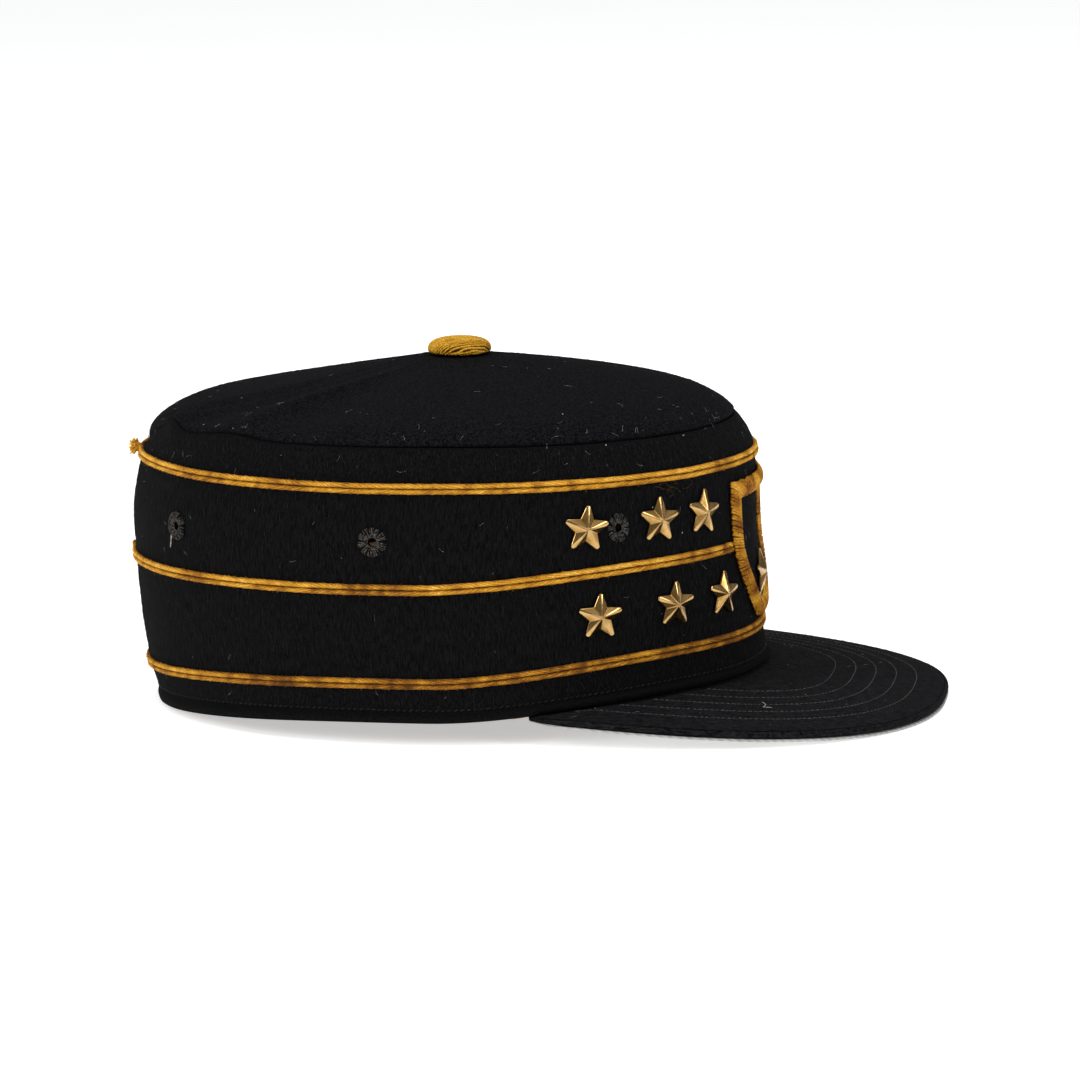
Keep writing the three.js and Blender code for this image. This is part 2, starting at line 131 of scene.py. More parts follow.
def noiseAt(places):
    return np.array([noise.noise(Vector(place)) for place in places])


# the rows of a cloth's section that the points of its grid stand for
def rowsOf(section, along):
    return section[np.rint(along * (len(section) - 1)).astype(int)]


# copies of one model, each with its own mesh, named for their nodes
def copyPiece(model, name, place):
    piece = model.copy()
    piece.name = name
    piece.data = model.data.copy()
    piece.data.transform(place)
    scene.collection.objects.link(piece)
    return piece


def titleWords(node):
    return "".join(word.title() for word in node.split("_")[1:])


# cloth starts as a flat grid, its points are carried to the cap and the edges that meet are sewn
def clothFrom(name, across, along, place):
    deselect()
    bpy.ops.mesh.primitive_grid_add(x_subdivisions=across, y_subdivisions=along, size=2)
    piece = bpy.context.object
    piece.name = name
    flat = (pointsOf(piece)[:, :2] * mm + 1) / 2
    piece.data.vertices.foreach_set("co", (place(flat[:, 0], flat[:, 1]) * mm).ravel())
    editAll(piece)
    bpy.ops.mesh.remove_doubles(threshold=0.01 * mm)
    bpy.ops.mesh.normals_make_consistent(inside=False)
    bpy.ops.object.mode_set(mode="OBJECT")
    bpy.ops.object.shade_smooth()
    return piece


# threads and cords are bevelled curves, turned into a mesh once they lie where they belong
def threadsFrom(name, paths, radius, sides=6, taper=None):
    deselect()
    curve = bpy.data.curves.new(name, "CURVE")
    curve.dimensions = "3D"
    curve.bevel_depth = radius * mm
    curve.bevel_resolution = (sides - 4) // 2
    curve.use_fill_caps = True
    for path in paths:
        path = np.asarray(path)
        spline = curve.splines.new("POLY")
        spline.points.add(len(path) - 1)
        spline.points.foreach_set("co", np.c_[path * mm, np.ones(len(path))].ravel())
        if taper is not None:
            spline.points.foreach_set("radius", taper(np.linspace(0, 1, len(path))))
    piece = bpy.data.objects.new(name, curve)
    scene.collection.objects.link(piece)
    makeActive(piece)
    bpy.ops.object.convert(target="MESH")
    piece = bpy.context.object
    bpy.ops.object.shade_smooth()
    return piece


# finishes
def colour(hexText):
    parts = [int(hexText[i:i + 2], 16) / 255 for i in (1, 3, 5)]
    return [c / 12.92 if c <= 0.04045 else ((c + 0.055) / 1.055) ** 2.4 for c in parts] + [1]


def addNode(tree, kind, settings={}, links={}):
    made = tree.nodes.new(kind)
    for key, value in settings.items():
        if key == "stops":
            for _ in value[2:]:
                made.color_ramp.elements.new(0.5)
            for element, (place, hexText) in zip(made.color_ramp.elements, value):
                element.position = place
                element.color = colour(hexText)
        elif isinstance(key, str) and hasattr(made, key):
            setattr(made, key, value)
        else:
            made.inputs[key].default_value = value
    for key, source in links.items():
        tree.links.new(source, made.inputs[key])
    return made


# a material with its shader, and the coordinates that its patterns are read in
def newMaterial(name, settings, space="Object"):
    material = bpy.data.materials.new(name)
    material.use_nodes = True
    tree = material.node_tree
    shader = tree.nodes["Principled BSDF"]
    for key, value in settings.items():
        shader.inputs[key].default_value = value
    where = addNode(tree, "ShaderNodeTexCoord").outputs[space]
    return material, tree, shader, where


def perMetre(size):
    return 1000 / size  # a pattern's size in mm as a texture scale


# a shade picks the colour, and where asked a height gives relief of some strength, its depth in mm
def colourAndRelief(tree, shader, tones, shade, height=None, strength=1.0, depth=0.0):
    ramp = addNode(tree, "ShaderNodeValToRGB", {"stops": tones}, {"Fac": shade})
    tree.links.new(ramp.outputs["Color"], shader.inputs["Base Color"])
    if height is not None:
        settings = {"Strength": strength, "Distance": depth * mm}
        bump = addNode(tree, "ShaderNodeBump", settings, {"Height": height})
        tree.links.new(bump.outputs["Normal"], shader.inputs["Normal"])


# fulled wool: dull and near black, fine hairs laid one way catch a little grey light
def woolCloth(name, space, hair, grain, tones, relief):
    material, tree, shader, where = newMaterial(name, {
        "Roughness": 0.95, "Specular IOR Level": 0.03,
        "Sheen Weight": 0.012, "Sheen Roughness": 0.5, "Sheen Tint": colour("#a0a0a6")}, space)
    scales = [perMetre(size) for size in hair]
    along = addNode(tree, "ShaderNodeMapping", {"Scale": scales}, {"Vector": where})
    hairs = addNode(tree, "ShaderNodeTexNoise",
                    {"Scale": 1, "Detail": 3, "Roughness": 0.65, "Distortion": 0.6},
                    {"Vector": along.outputs[0]})
    grit = addNode(tree, "ShaderNodeTexNoise", {"Scale": perMetre(grain), "Detail": 2}, {"Vector": where})
    part = addNode(tree, "ShaderNodeMath", {"operation": "MULTIPLY", 1: 0.3}, {0: grit.outputs["Fac"]})
    shade = addNode(tree, "ShaderNodeMath", {"operation": "MULTIPLY_ADD", 1: 0.7},
                    {0: hairs.outputs["Fac"], 2: part.outputs[0]})
    colourAndRelief(tree, shader, tones, shade.outputs[0], shade.outputs[0], relief, 0.6)
    return material


# cotton yarn: dull gold, with painted shade between its plies from the groove attribute, brown where hands
# and weather soiled it
def goldYarn(name, tones, fibre, fuzzy=1.0):
    material, tree, shader, where = newMaterial(name, {
        "Roughness": 0.8, "Specular IOR Level": 0.12,
        "Sheen Weight": 0.04, "Sheen Roughness": 0.4, "Sheen Tint": colour("#f0c070")})
    fibres = addNode(tree, "ShaderNodeTexNoise", {"Scale": perMetre(fibre), "Detail": 3, "Roughness": 0.7},
                     {"Vector": where})
    patch = addNode(tree, "ShaderNodeTexNoise", {"Scale": perMetre(5), "Detail": 3}, {"Vector": where})
    soil = addNode(tree, "ShaderNodeAttribute", {"attribute_name": "soil"})
    dirt = addNode(tree, "ShaderNodeMath", {"operation": "MULTIPLY"},
                   {0: soil.outputs["Fac"], 1: patch.outputs["Fac"]})
    # the groove attribute is painted shade, mixed into the colour together with the soil
    groove = addNode(tree, "ShaderNodeAttribute", {"attribute_name": "groove"})
    deep = addNode(tree, "ShaderNodeMath", {"operation": "MULTIPLY_ADD", 1: 0.5},
                   {0: groove.outputs["Fac"], 2: dirt.outputs[0]})
    mixed = addNode(tree, "ShaderNodeMath", {"operation": "MULTIPLY_ADD", 1: fuzzy},
                    {0: fibres.outputs["Fac"], 2: deep.outputs[0]})
    colourAndRelief(tree, shader, tones, mixed.outputs[0], fibres.outputs["Fac"], 0.7, 0.2)
    return material


# pressed brass: satin metal, brighter on rubbed ridges, brown patina in the hollows
def pressedBrass():
    material, tree, shader, where = newMaterial("pressedBrass", {"Metallic": 1.0})
    cloud = addNode(tree, "ShaderNodeTexNoise", {"Scale": perMetre(3.5), "Detail": 4}, {"Vector": where})
    pits = addNode(tree, "ShaderNodeTexNoise", {"Scale": perMetre(0.5), "Detail": 2}, {"Vector": where})
    patina = addNode(tree, "ShaderNodeAttribute", {"attribute_name": "patina"})
    dull = addNode(tree, "ShaderNodeMath", {"operation": "MULTIPLY_ADD", 1: 0.45, "use_clamp": True},
                   {0: cloud.outputs["Fac"], 2: patina.outputs["Fac"]})
    rough = addNode(tree, "ShaderNodeMapRange",
                    {"From Min": 0.1, "From Max": 1.0, "To Min": 0.12, "To Max": 0.4},
                    {"Value": dull.outputs[0]})
    tree.links.new(rough.outputs[0], shader.inputs["Roughness"])
    tones = [(0.2, "#c29e67"), (0.45, "#9a763f"), (0.9, "#3c2811")]
    colourAndRelief(tree, shader, tones, dull.outputs[0], pits.outputs["Fac"], 0.12, 0.1)
    return material


# spun thread: matt, with lighter and darker plies
def spunThread(name, dark, light, shine=0.3):
    material, tree, shader, where = newMaterial(name, {"Roughness": 0.7, "Specular IOR Level": shine})
    plies = addNode(tree, "ShaderNodeTexNoise", {"Scale": perMetre(0.6), "Detail": 2}, {"Vector": where})
    colourAndRelief(tree, shader, [(0.4, dark), (0.62, light)], plies.outputs["Fac"])
    return material


# cotton twill: fine slanted ribs in pale grey
def greyTwill():
    material, tree, shader, where = newMaterial("greyTwill", {"Roughness": 0.85, "Specular IOR Level": 0.2})
    ribs = addNode(tree, "ShaderNodeTexWave",
                   {"Scale": perMetre(0.9) / math.tau, "Distortion": 1.2, "Detail": 2,
                    "bands_direction": "DIAGONAL"}, {"Vector": where})
    patch = addNode(tree, "ShaderNodeTexNoise", {"Scale": perMetre(18), "Detail": 4}, {"Vector": where})
    shade = addNode(tree, "ShaderNodeMath", {"operation": "MULTIPLY_ADD", 1: 0.3},
                    {0: ribs.outputs["Fac"], 2: patch.outputs["Fac"]})
    tones = [(0.3, "#858683"), (0.9, "#b4b5b2")]
    colourAndRelief(tree, shader, tones, shade.outputs[0], ribs.outputs["Fac"], 0.3, 0.2)
    return material


# vegetable-tanned leather: smooth tan with fine pores and darker handled patches
def tanLeather():
    material, tree, shader, where = newMaterial("tanLeather", {"Roughness": 0.5, "Specular IOR Level": 0.4})
    grain = addNode(tree, "ShaderNodeTexVoronoi", {"Scale": perMetre(0.9), "feature": "DISTANCE_TO_EDGE"},
                    {"Vector": where})
    patch = addNode(tree, "ShaderNodeTexNoise", {"Scale": perMetre(22), "Detail": 5}, {"Vector": where})
    tones = [(0.3, "#6d4a2b"), (0.5, "#9a6f43"), (0.7, "#b58a59")]
    colourAndRelief(tree, shader, tones, patch.outputs["Fac"], grain.outputs["Distance"], 0.25, 0.15)
    return material


# wool finishes give the size of a hair across, along and through, and of the grain, in mm
finishes = {
    "wall": woolCloth("fulledWool", "UV", (0.5, 3.4, 1), 0.45, [(0.39, "#040405"), (0.63, "#151516")], 0.95),
    "top": woolCloth("fulledWoolTop", "Object", (0.8, 0.45, 0.8), 0.5,
                     [(0.43, "#020203"), (0.58, "#19191b")], 0.9),
    "visor": woolCloth("fulledWoolVisor", "Object", (2.6, 0.55, 0.8), 0.5,
                       [(0.42, "#070708"), (0.6, "#212123")], 0.7),
    "braid": goldYarn("goldBraid", [(0.33, "#fad67a"), (0.5, "#cf9629"), (0.74, "#885515"),
                                    (0.95, "#52300e")], 0.5, 0.6),
    "satin": goldYarn("goldSatinStitch", [(0.36, "#e0ad46"), (0.56, "#b98222"), (0.8, "#814c15"),
                                          (1.0, "#40200c")], 0.6),
    "button": goldYarn("goldButtonYarn", [(0.4, "#f3ca66"), (0.6, "#d09b29"), (0.82, "#8a5d12"),
                                          (1.0, "#38230a")], 0.5),
    "brass": pressedBrass(),
    "eyelet": spunThread("buttonholeThread", "#121110", "#57534e", 0.1),
    "eyeletPad": spunThread("blackPadding", "#030303", "#080808", 0.05),
    "hemThread": spunThread("blackThread", "#0c0c0d", "#272729", 0.1),
    "visorThread": spunThread("greyThread", "#1f1f20", "#4c4c4c"),
    "tanThread": spunThread("tanThread", "#8f6a40", "#b08c5c"),
    "nap": spunThread("woolHair", "#0b0b0c", "#262628", 0.15),
    "lint": spunThread("paleLint", "#3a393d", "#95939a"),
    "fleck": spunThread("paleFleck", "#8a7a68", "#d8d4cc"),
    "looseGold": spunThread("looseGoldFibre", "#574216", "#a17a2c"),
    "shed": spunThread("soiledFibre", "#231c0f", "#5c4922", 0.1),
    "under": greyTwill(),
    "leather": tanLeather(),
}
print("finishes made:", len(finishes))


# the photo's view: seen from the wearer's right, a little from the front and from above
view = {"azimuth": 10.0, "elevation": 10.5, "frontUp": 1.0, "distance": 1.6, "lens": 154.1,
        "target": (1.5, -1.05, 54.52)}


def addCamera():
    deselect()
    turn, lift = math.radians(view["azimuth"]), math.radians(view["elevation"])
    back = Vector((math.sin(turn) * math.cos(lift), -math.cos(turn) * math.cos(lift), math.sin(lift)))
    right = Vector((math.cos(turn), math.sin(turn), 0))
    level = Matrix((right, back.cross(right), back)).transposed()
    tipped = Matrix.Rotation(math.radians(view["frontUp"]), 3, "Y") @ level
    place = Vector(view["target"]) * mm + tipped.col[2] * view["distance"]
    bpy.ops.object.camera_add(location=place, rotation=tipped.to_euler())
    camera = bpy.context.object
    camera.data.lens = view["lens"]
    camera.data.sensor_width = 36
    scene.camera = camera


addCamera()


# crown levels from the rim to the top seam: heights at back, sides and front, half length and half width
# of the oval, its centre, and its share of the sag at the back
crown = {
    "columns": ("back", "side", "front", "long", "wide", "x", "slump"),
    "rows": [
        (-1.0, 7.6, 13.4, 106.0, 85.6, -26.8, 0),  # rim
        (1.4, 9.7, 15.4, 107.5, 87.0, -26.9, 0),  # roll of the hem
        (5.0, 11.9, 17.3, 106.8, 86.4, -27.5, 0),  # hem stitching
        (13.8, 21.4, 27.3, 107.2, 87.0, -29.3, 0),  # bottom stripe
        (32.0, 37.3, 42.6, 108.3, 87.9, -30.6, 0),
        (51.2, 53.1, 58.0, 108.4, 88.0, -31.7, 0),  # middle stripe
        (69.0, 70.0, 72.3, 108.4, 88.0, -32.2, 0),
        (86.9, 86.6, 86.4, 106.4, 86.6, -30.8, 0),  # top stripe
        (94.2, 94.0, 93.4, 104.5, 85.4, -31.6, 0.53),
        (100.4, 100.0, 99.0, 101.8, 83.2, -32.9, 1),  # top seam
    ],
    "climb": (0.05, 0.85),  # towards the front a level climbs early, over the visor's corners
    "sag": {"angle": 182, "halfSpan": 37, "lift": -11.6},
    "lifts": [
        {"angle": 215.5, "halfSpan": 5.5, "lift": 2.8},  # a pinched corner
        {"angle": 212, "halfSpan": 11, "lift": 0.9},
        {"angle": 235, "halfSpan": 12, "lift": 1.6},  # foot of the ridge on the top
    ],
    "hem": 2, "stripes": {"bottom": 3, "middle": 5, "top": 7}, "seam": 9,
    "cloth": 2.4, "ripple": 0.22, "around": 480,
    "groove": 0.35, "hemRoll": 0.2, "rimOut": 0.9, "seamRoll": 1.4,
    "uvSize": (610, 220),  # round the crown and round the section of its cloth
}


def foldShare(fold, angle):
    away = np.abs((angle - fold["angle"] + 180) % 360 - 180)
    share = np.cos(np.radians(90 * np.minimum(away / fold["halfSpan"], 1))) ** 2
    return share * fold.get("lift", 1)


# a smooth curve through one column of a table, read at a place between its rows
def readTable(table, name, at):
    values = np.array([row[table["columns"].index(name)] for row in table["rows"]], float)
    low = np.clip(np.floor(at).astype(int), 0, len(values) - 2)
    t = at - low
    before, here, there, after = (values[np.clip(low + i, 0, len(values) - 1)] for i in (-1, 0, 1, 2))
    return 0.5 * (2 * here + (there - before) * t + (2 * before - 5 * here + 4 * there - after) * t ** 2
                  + (3 * here - before - 3 * there + after) * t ** 3)


def roundBlend(front, side, back, angle):
    along = np.cos(np.radians(angle))
    return side + (np.where(along > 0, front, back) - side) * along ** 2


def sagAt(angle):
    return foldShare(crown["sag"], angle) + sum(foldShare(lift, angle) for lift in crown["lifts"])


def levelBlend(front, side, back, angle):
    along = np.cos(np.radians(angle))
    start, end = crown["climb"]
    share = np.clip((along - start) / (end - start), 0, 1)
    climb = (front - side) * share ** 2 * (3 - 2 * share)
    return side + np.where(along > 0, climb, (back - side) * along ** 2)


def wallShape(angle, level):
    angle, level = np.broadcast_arrays(np.asarray(angle, float), np.asarray(level, float))
    turn = np.radians(angle)
    ripple = crown["ripple"] * (np.sin(5 * turn + 0.9 * level) + 0.7 * np.sin(11 * turn - 0.6 * level))
    height = levelBlend(*(readTable(crown, name, level) for name in ("front", "side", "back")), angle)
    height = height + readTable(crown, "slump", level) * sagAt(angle)
    x = readTable(crown, "x", level) + (readTable(crown, "long", level) + ripple) * np.cos(turn)
    y = (readTable(crown, "wide", level) + ripple) * np.sin(turn)
    return np.stack([x, y, height], -1)


# the rim lies flat where it rests
def wallPoint(angle, level):
    return np.maximum(wallShape(angle, level), [-1e3, -1e3, 0])


# a place on the wall with its ways along the wall, up it and out of it
def wallPlace(angle, level):
    high = np.minimum(np.asarray(level) + 0.03, crown["seam"])
    low = np.maximum(np.asarray(level) - 0.03, 0)
    along = unit(wallShape(np.asarray(angle) + 0.3, level) - wallShape(np.asarray(angle) - 0.3, level))
    out = unit(np.cross(along, wallShape(angle, high) - wallShape(angle, low)))
    return wallPoint(angle, level), along, np.cross(out, along), out


def levelAtHeight(angle, height):
    levels = np.linspace(0, crown["seam"], 121)
    rungs = wallPoint(np.asarray(angle)[:, None], levels)[..., 2]
    high = np.clip((rungs < height[:, None]).sum(1), 1, 120)
    each = np.arange(len(high))
    below, above = rungs[each, high - 1], rungs[each, high]
    share = np.clip((height - below) / np.maximum(above - below, 1e-6), 0, 1)
    return levels[high - 1] + share * levels[1]


# the section of the wall, once round the cloth: level on the wall, depth into it, and rise above the rim
def wallSection():
    cloth, rim, seam = crown["cloth"], crown["rimOut"], crown["seam"]
    half, section = cloth / 2, []
    for t in np.linspace(0, math.pi, 11):
        section.append((0, half * (1 + math.cos(t)) - rim, half * (1 - math.sin(t))))
    hemLevels = np.concatenate([np.linspace(0.55, 1.65, 9), np.linspace(1.72, 2.2, 16)])
    for level in np.concatenate([hemLevels, np.linspace(2.26, 8.7, 78)]):
        roll = -crown["hemRoll"] * math.sin(math.pi * np.clip((level - 0.5) / 1.5, 0, 1))
        width = 0.2 if level < crown["hem"] else 0.07
        groove = crown["groove"] * math.exp(-((level - crown["hem"]) / width) ** 2)
        section.append((level, roll + groove - rim * max(1 - level, 0), 0))
    share = 0.24  # of a level, the height of the roll into the seam
    for t in np.linspace(0.15, math.pi / 2, 7):
        section.append((seam - share + share * math.sin(t), crown["seamRoll"] * (1 - math.cos(t)), 0))
    section += [(seam, cloth, 0)]
    section += [(level, cloth, 0) for level in np.linspace(8.6, 0.6, 34)]
    return np.array(section + section[:1])


def makeWall():
    section = wallSection()

    def place(across, along):
        row = rowsOf(section, along)
        point, _, _, out = wallPlace(360 * across, row[:, 0])
        out[row[:, 0] == 0, 2] = 0
        point = point - unit(out) * row[:, 1:2]
        point[:, 2] += row[:, 2]
        return point

    wall = clothFrom("crownSide", crown["around"], len(section) - 1, place)
    scaleUv(wall, *crown["uvSize"])
    cutEyelets(wall)
    return finishPiece(wall, finishes["wall"], "wool_felt", "crown_side")


# UV in metres, so that a pattern in millimetres follows the cloth
def scaleUv(piece, width, height):
    layer = piece.data.uv_layers.active.data
    places = np.empty(len(layer) * 2)
    layer.foreach_get("uv", places)
    layer.foreach_set("uv", (places.reshape(-1, 2) * [width * mm, height * mm]).ravel())


eyelet = {"hole": 1.7, "ring": 3.2, "half": 1.5, "stitches": 46, "thread": 0.14,
          "level": 5.94, "angles": (48.7, 93.6, 137.6), "drawnIn": {"eyelet_right_1": 0.8}}
eyeletPlaces = [(f"eyelet_{side}_{i + 1}", turn * angle) for side, turn in (("right", -1), ("left", 1))
                for i, angle in enumerate(eyelet["angles"])]


def frameAt(angle, level, lift=0.0, twist=0.0):
    point, along, up, out = wallPlace(float(angle), float(level))
    axes = Matrix((along, up, out)).transposed()
    return Matrix.Translation(Vector((point + out * lift) * mm)) @ axes.to_4x4() @ Matrix.Rotation(
        math.radians(twist), 4, "Z")


def cutEyelets(wall):
    drills = []
    for _, angle in eyeletPlaces:
        deselect()
        bpy.ops.mesh.primitive_cylinder_add(vertices=20, radius=eyelet["hole"] * mm, depth=16 * mm)
        drill = bpy.context.object
        drill.data.transform(frameAt(angle, eyelet["level"]))
        drills.append(drill)
    drill = joinPieces("drill", drills)
    applyModifier(wall, "BOOLEAN", operation="DIFFERENCE", object=drill, solver="EXACT")
    bpy.data.objects.remove(drill)


makeWall()
print("crown wall made")


# rings of the top from the seam to the button: share of the seam's oval, rises as shares of the height
# to the button, and how far the ring sags and leans out at the back
top = {
    "columns": ("spread", "riseFront", "riseSide", "riseBack", "slump", "bulge"),
    "rows": [
        (1.0, 0.0, 0.0, 0.0, 1.0, 0.2),
        (0.985, 0.08, 0.1, 0.05, 0.6, 0.9),
        (0.95, 0.205, 0.22, 0.09, 0.24, 0.7),
        (0.88, 0.37, 0.35, 0.15, 0.05, 0.2),
        (0.76, 0.535, 0.485, 0.26, 0, 0),
        (0.58, 0.705, 0.65, 0.45, 0, 0),
        (0.34, 0.885, 0.835, 0.73, 0, 0),
        (0.12, 1.0, 1.0, 1.0, 0, 0),
    ],
    "centre": (-25.7, 119.2), "lift": 0.5, "foldReach": 9.5,
    "folds": [
        {"angle": 208, "halfSpan": 10, "lift": -2.4},
        {"angle": 222, "halfSpan": 10, "lift": -1.6},
        {"angle": 237, "halfSpan": 10, "lift": 1.4},
        {"angle": 238.5, "halfSpan": 3.5, "lift": 1.1},
        {"angle": 249, "halfSpan": 13, "lift": -1.7},
    ],
    "around": 384,
}


def topPoint(angle, ring):
    angle, ring = np.broadcast_arrays(np.asarray(angle, float), np.asarray(ring, float))
    seam, sag = wallPoint(angle, crown["seam"]), sagAt(angle)
    row = np.minimum(ring, len(top["rows"]) - 1)
    spread = readTable(top, "spread", row) * np.clip(len(top["rows"]) - ring, 0, 1)
    rise = roundBlend(*(readTable(top, name, row) for name in ("riseFront", "riseSide", "riseBack")), angle)
    reach = top["foldReach"] * spread ** 3 * (1 - spread)
    fold = sum(foldShare(fold, angle) for fold in top["folds"]) * reach
    followed = np.where(sag < 0, readTable(top, "slump", row), spread ** 6)
    base = seam[..., 2] - sag + top["lift"]
    lean = readTable(top, "bulge", row) * foldShare(crown["sag"], angle) / crown["sag"]["lift"]
    x = top["centre"][0] + (seam[..., 0] - top["centre"][0]) * spread - lean
    z = base + (top["centre"][1] - base) * rise + followed * sag + fold
    return np.stack([x, seam[..., 1] * spread, z], -1)


def topPlace(angle, ring):
    low, high = np.clip(ring - 0.05, 0, 7.85), np.minimum(ring + 0.05, 7.95)
    along = topPoint(angle + 0.4, np.minimum(ring, 7.9)) - topPoint(angle - 0.4, np.minimum(ring, 7.9))
    out = unit(np.cross(along, topPoint(angle, high) - topPoint(angle, low)))
    return topPoint(angle, ring), out


def makeTop():
    cloth, roll, share = crown["cloth"], crown["seamRoll"], 0.42
    outer = [(share * (1 - math.sin(t)), roll * (1 - math.cos(t))) for t in np.linspace(math.pi / 2, 0.1, 8)]
    outer += [(ring, 0) for ring in np.concatenate([np.linspace(0.46, 3, 30), np.linspace(3.1, 8, 40)])]
    inner = [(ring, cloth) for ring in np.linspace(8, 0.2, 36)]
    section = np.array([(0, cloth)] + outer + inner + [(0, cloth)])

    def place(across, along):
        row = rowsOf(section, along)
        point, out = topPlace(360 * across, row[:, 0])
        out[row[:, 0] > 7.99] = (0, 0, 1)
        return point - out * row[:, 1:2]

    panel = clothFrom("crownTop", top["around"], len(section) - 1, place)
    return finishPiece(panel, finishes["top"], "wool_felt", "crown_top")


makeTop()
print("top made")


# the button: a full round pad wound with gold yarn from one side to the other
button = {"radius": 11.0, "dome": 4.3, "widest": 1.6, "foot": 119.4, "full": 0.74,
          "yarn": 0.47, "spacing": 1.02, "slant": 38, "fan": 1.5, "cut": -0.85}


# carries points of a ball of radius 1 to the pad, so far under its surface
def buttonPlace(ball, inset):
    flat = np.maximum(np.linalg.norm(ball[:, :2], axis=1, keepdims=True), 1e-6)
    rise = np.sign(ball[:, 2]) * np.abs(ball[:, 2]) ** button["full"]
    height = np.where(rise > 0, button["dome"], button["widest"]) - inset
    spread = ball[:, :2] * flat ** (button["full"] - 1) * (button["radius"] - inset)
    return np.c_[spread, rise * height] + [top["centre"][0], 0, button["foot"] + button["widest"]]


def makeButton():
    deselect()
    bpy.ops.mesh.primitive_uv_sphere_add(segments=48, ring_count=32, radius=1)
    pad = bpy.context.object
    pad.data.vertices.foreach_set("co", (buttonPlace(pointsOf(pad) * mm, 1.3 * button["yarn"]) * mm).ravel())
    editAll(pad)
    bpy.ops.mesh.bisect(plane_co=(0, 0, (button["foot"] + 0.1) * mm), plane_no=(0, 0, 1), clear_inner=True,
                        use_fill=True)
    bpy.ops.object.mode_set(mode="OBJECT")
    bpy.ops.object.shade_smooth()
    # painted shade: the pad shows only between the windings and is darkened all over
    setAttribute(pad, "groove", np.full(len(pad.data.vertices), 0.8))
    slant = math.radians(button["slant"])
    ahead = np.array([math.cos(slant), math.sin(slant), 0])
    aside = np.array([-math.sin(slant), math.cos(slant), 0])
    # each yarn is a round cut through the ball, and the cuts fan out from a line below it
    steep = math.acos(1 / button["fan"]) + 0.02

    def windingPoint(turn, t):
        lower = button["fan"] * np.cos(turn)
        size = np.sqrt(1 - lower ** 2)
        across = lower * np.sin(turn) + size * np.sin(t) * np.cos(turn)
        rise = -lower * np.cos(turn) + size * np.sin(t) * np.sin(turn)
        ball = np.outer(size * np.cos(t), ahead) + np.outer(across, aside) + np.outer(rise, [0, 0, 1])
        return buttonPlace(ball, button["yarn"])

    turns = np.linspace(steep, math.pi - steep, 400)
    run = runOf(windingPoint(turns, math.pi / 2))
    paths = []
    for row, at in enumerate(np.arange(0.2, run[-1], button["spacing"])):
        turn = np.interp(at, run, turns)
        lower = button["fan"] * math.cos(turn)
        low = (button["cut"] + lower * math.cos(turn)) / (math.sqrt(1 - lower ** 2) * math.sin(turn))
        start = math.asin(max(low, -1))
        t = np.linspace(start, math.pi - start, 41)
        sway = 0.35 * noiseAt([(row * 3.1, 2 * along, 0) for along in t])
        paths.append(windingPoint(np.interp(at + sway, run, turns), t))
    yarn = threadsFrom("buttonYarn", paths, button["yarn"], 6, lambda t: 0.7 + 0.3 * np.sin(np.pi * t) ** 0.5)
    # painted shade on the windings, darker where their surface turns away from the button's outside
    faces = np.empty(len(yarn.data.vertices) * 3)
    yarn.data.vertices.foreach_get("normal", faces)
    out = (pointsOf(yarn) - buttonPlace(np.zeros((1, 3)), 0)) / [100, 100, 14]
    setAttribute(yarn, "groove", np.clip(0.7 - (faces.reshape(-1, 3) * unit(out)).sum(1), 0, 1))
    cover = joinPieces("topButton", [pad, yarn])
    places = pointsOf(cover)
    # the yarn is darker towards the button's foot, where it meets the top
    setAttribute(cover, "soil", 0.3 + 0.3 * np.clip((button["foot"] + 2.4 - places[:, 2]) / 2.4, 0, 1))
    return finishPiece(cover, finishes["button"], "gold_yarn", "top_button")


makeButton()
print("button made")


# the braid: two cords side by side, each twisted from five yarns, opposite ways, with stray fibres
braid = {"cord": 0.96, "apart": 0.9, "yarn": 0.41, "yarns": 5, "lay": 11.5, "lift": 0.5, "step": 0.44,
         "joint": 189.0, "jointGap": 0.8, "wander": 0.14, "curl": 3.4, "stray": 0.9, "strayThick": 0.05}
shield = {"halfWidth": 26.5, "top": 79.4, "turn": 62.0, "bottom": 30.6, "foot": 10.5,
          "stroke": 5.4, "thick": 2.3, "lift": 0.45, "spacing": 0.98, "thread": 0.46,
          "bend": 88.0, "room": 0.4}  # the wall's bend there, and the room between the shield and the braid
shieldEdge = math.degrees((shield["halfWidth"] + shield["room"]) / shield["bend"])


# the middle of one cord, with its ways along, up and out, where asked it starts with an end that curls up
def cordAxis(level, start, end, side, curl):
    angles = np.linspace(start, end, int(abs(end - start) * 1.7 / braid["step"]))
    point, along, up, out = wallPlace(angles, level)
    wander = noiseAt([(angle * 0.11, level * 7.3, side) for angle in angles])[:, None]
    axis = point + up * (side * braid["apart"] + wander * braid["wander"]) + out * braid["lift"]
    if curl and side > 0:
        bend = np.linspace(math.pi * 0.62, 0.06, 12)[:, None]
        tail = axis[0] + curl * ((0.5 - 0.5 * np.cos(bend)) * up[0] - 0.2 * np.sin(bend) * along[0])
        axis = np.vstack([tail, axis])
        along, up, out = (np.vstack([np.tile(way[:1], (12, 1)), way]) for way in (along, up, out))
    return axis, along, up, out


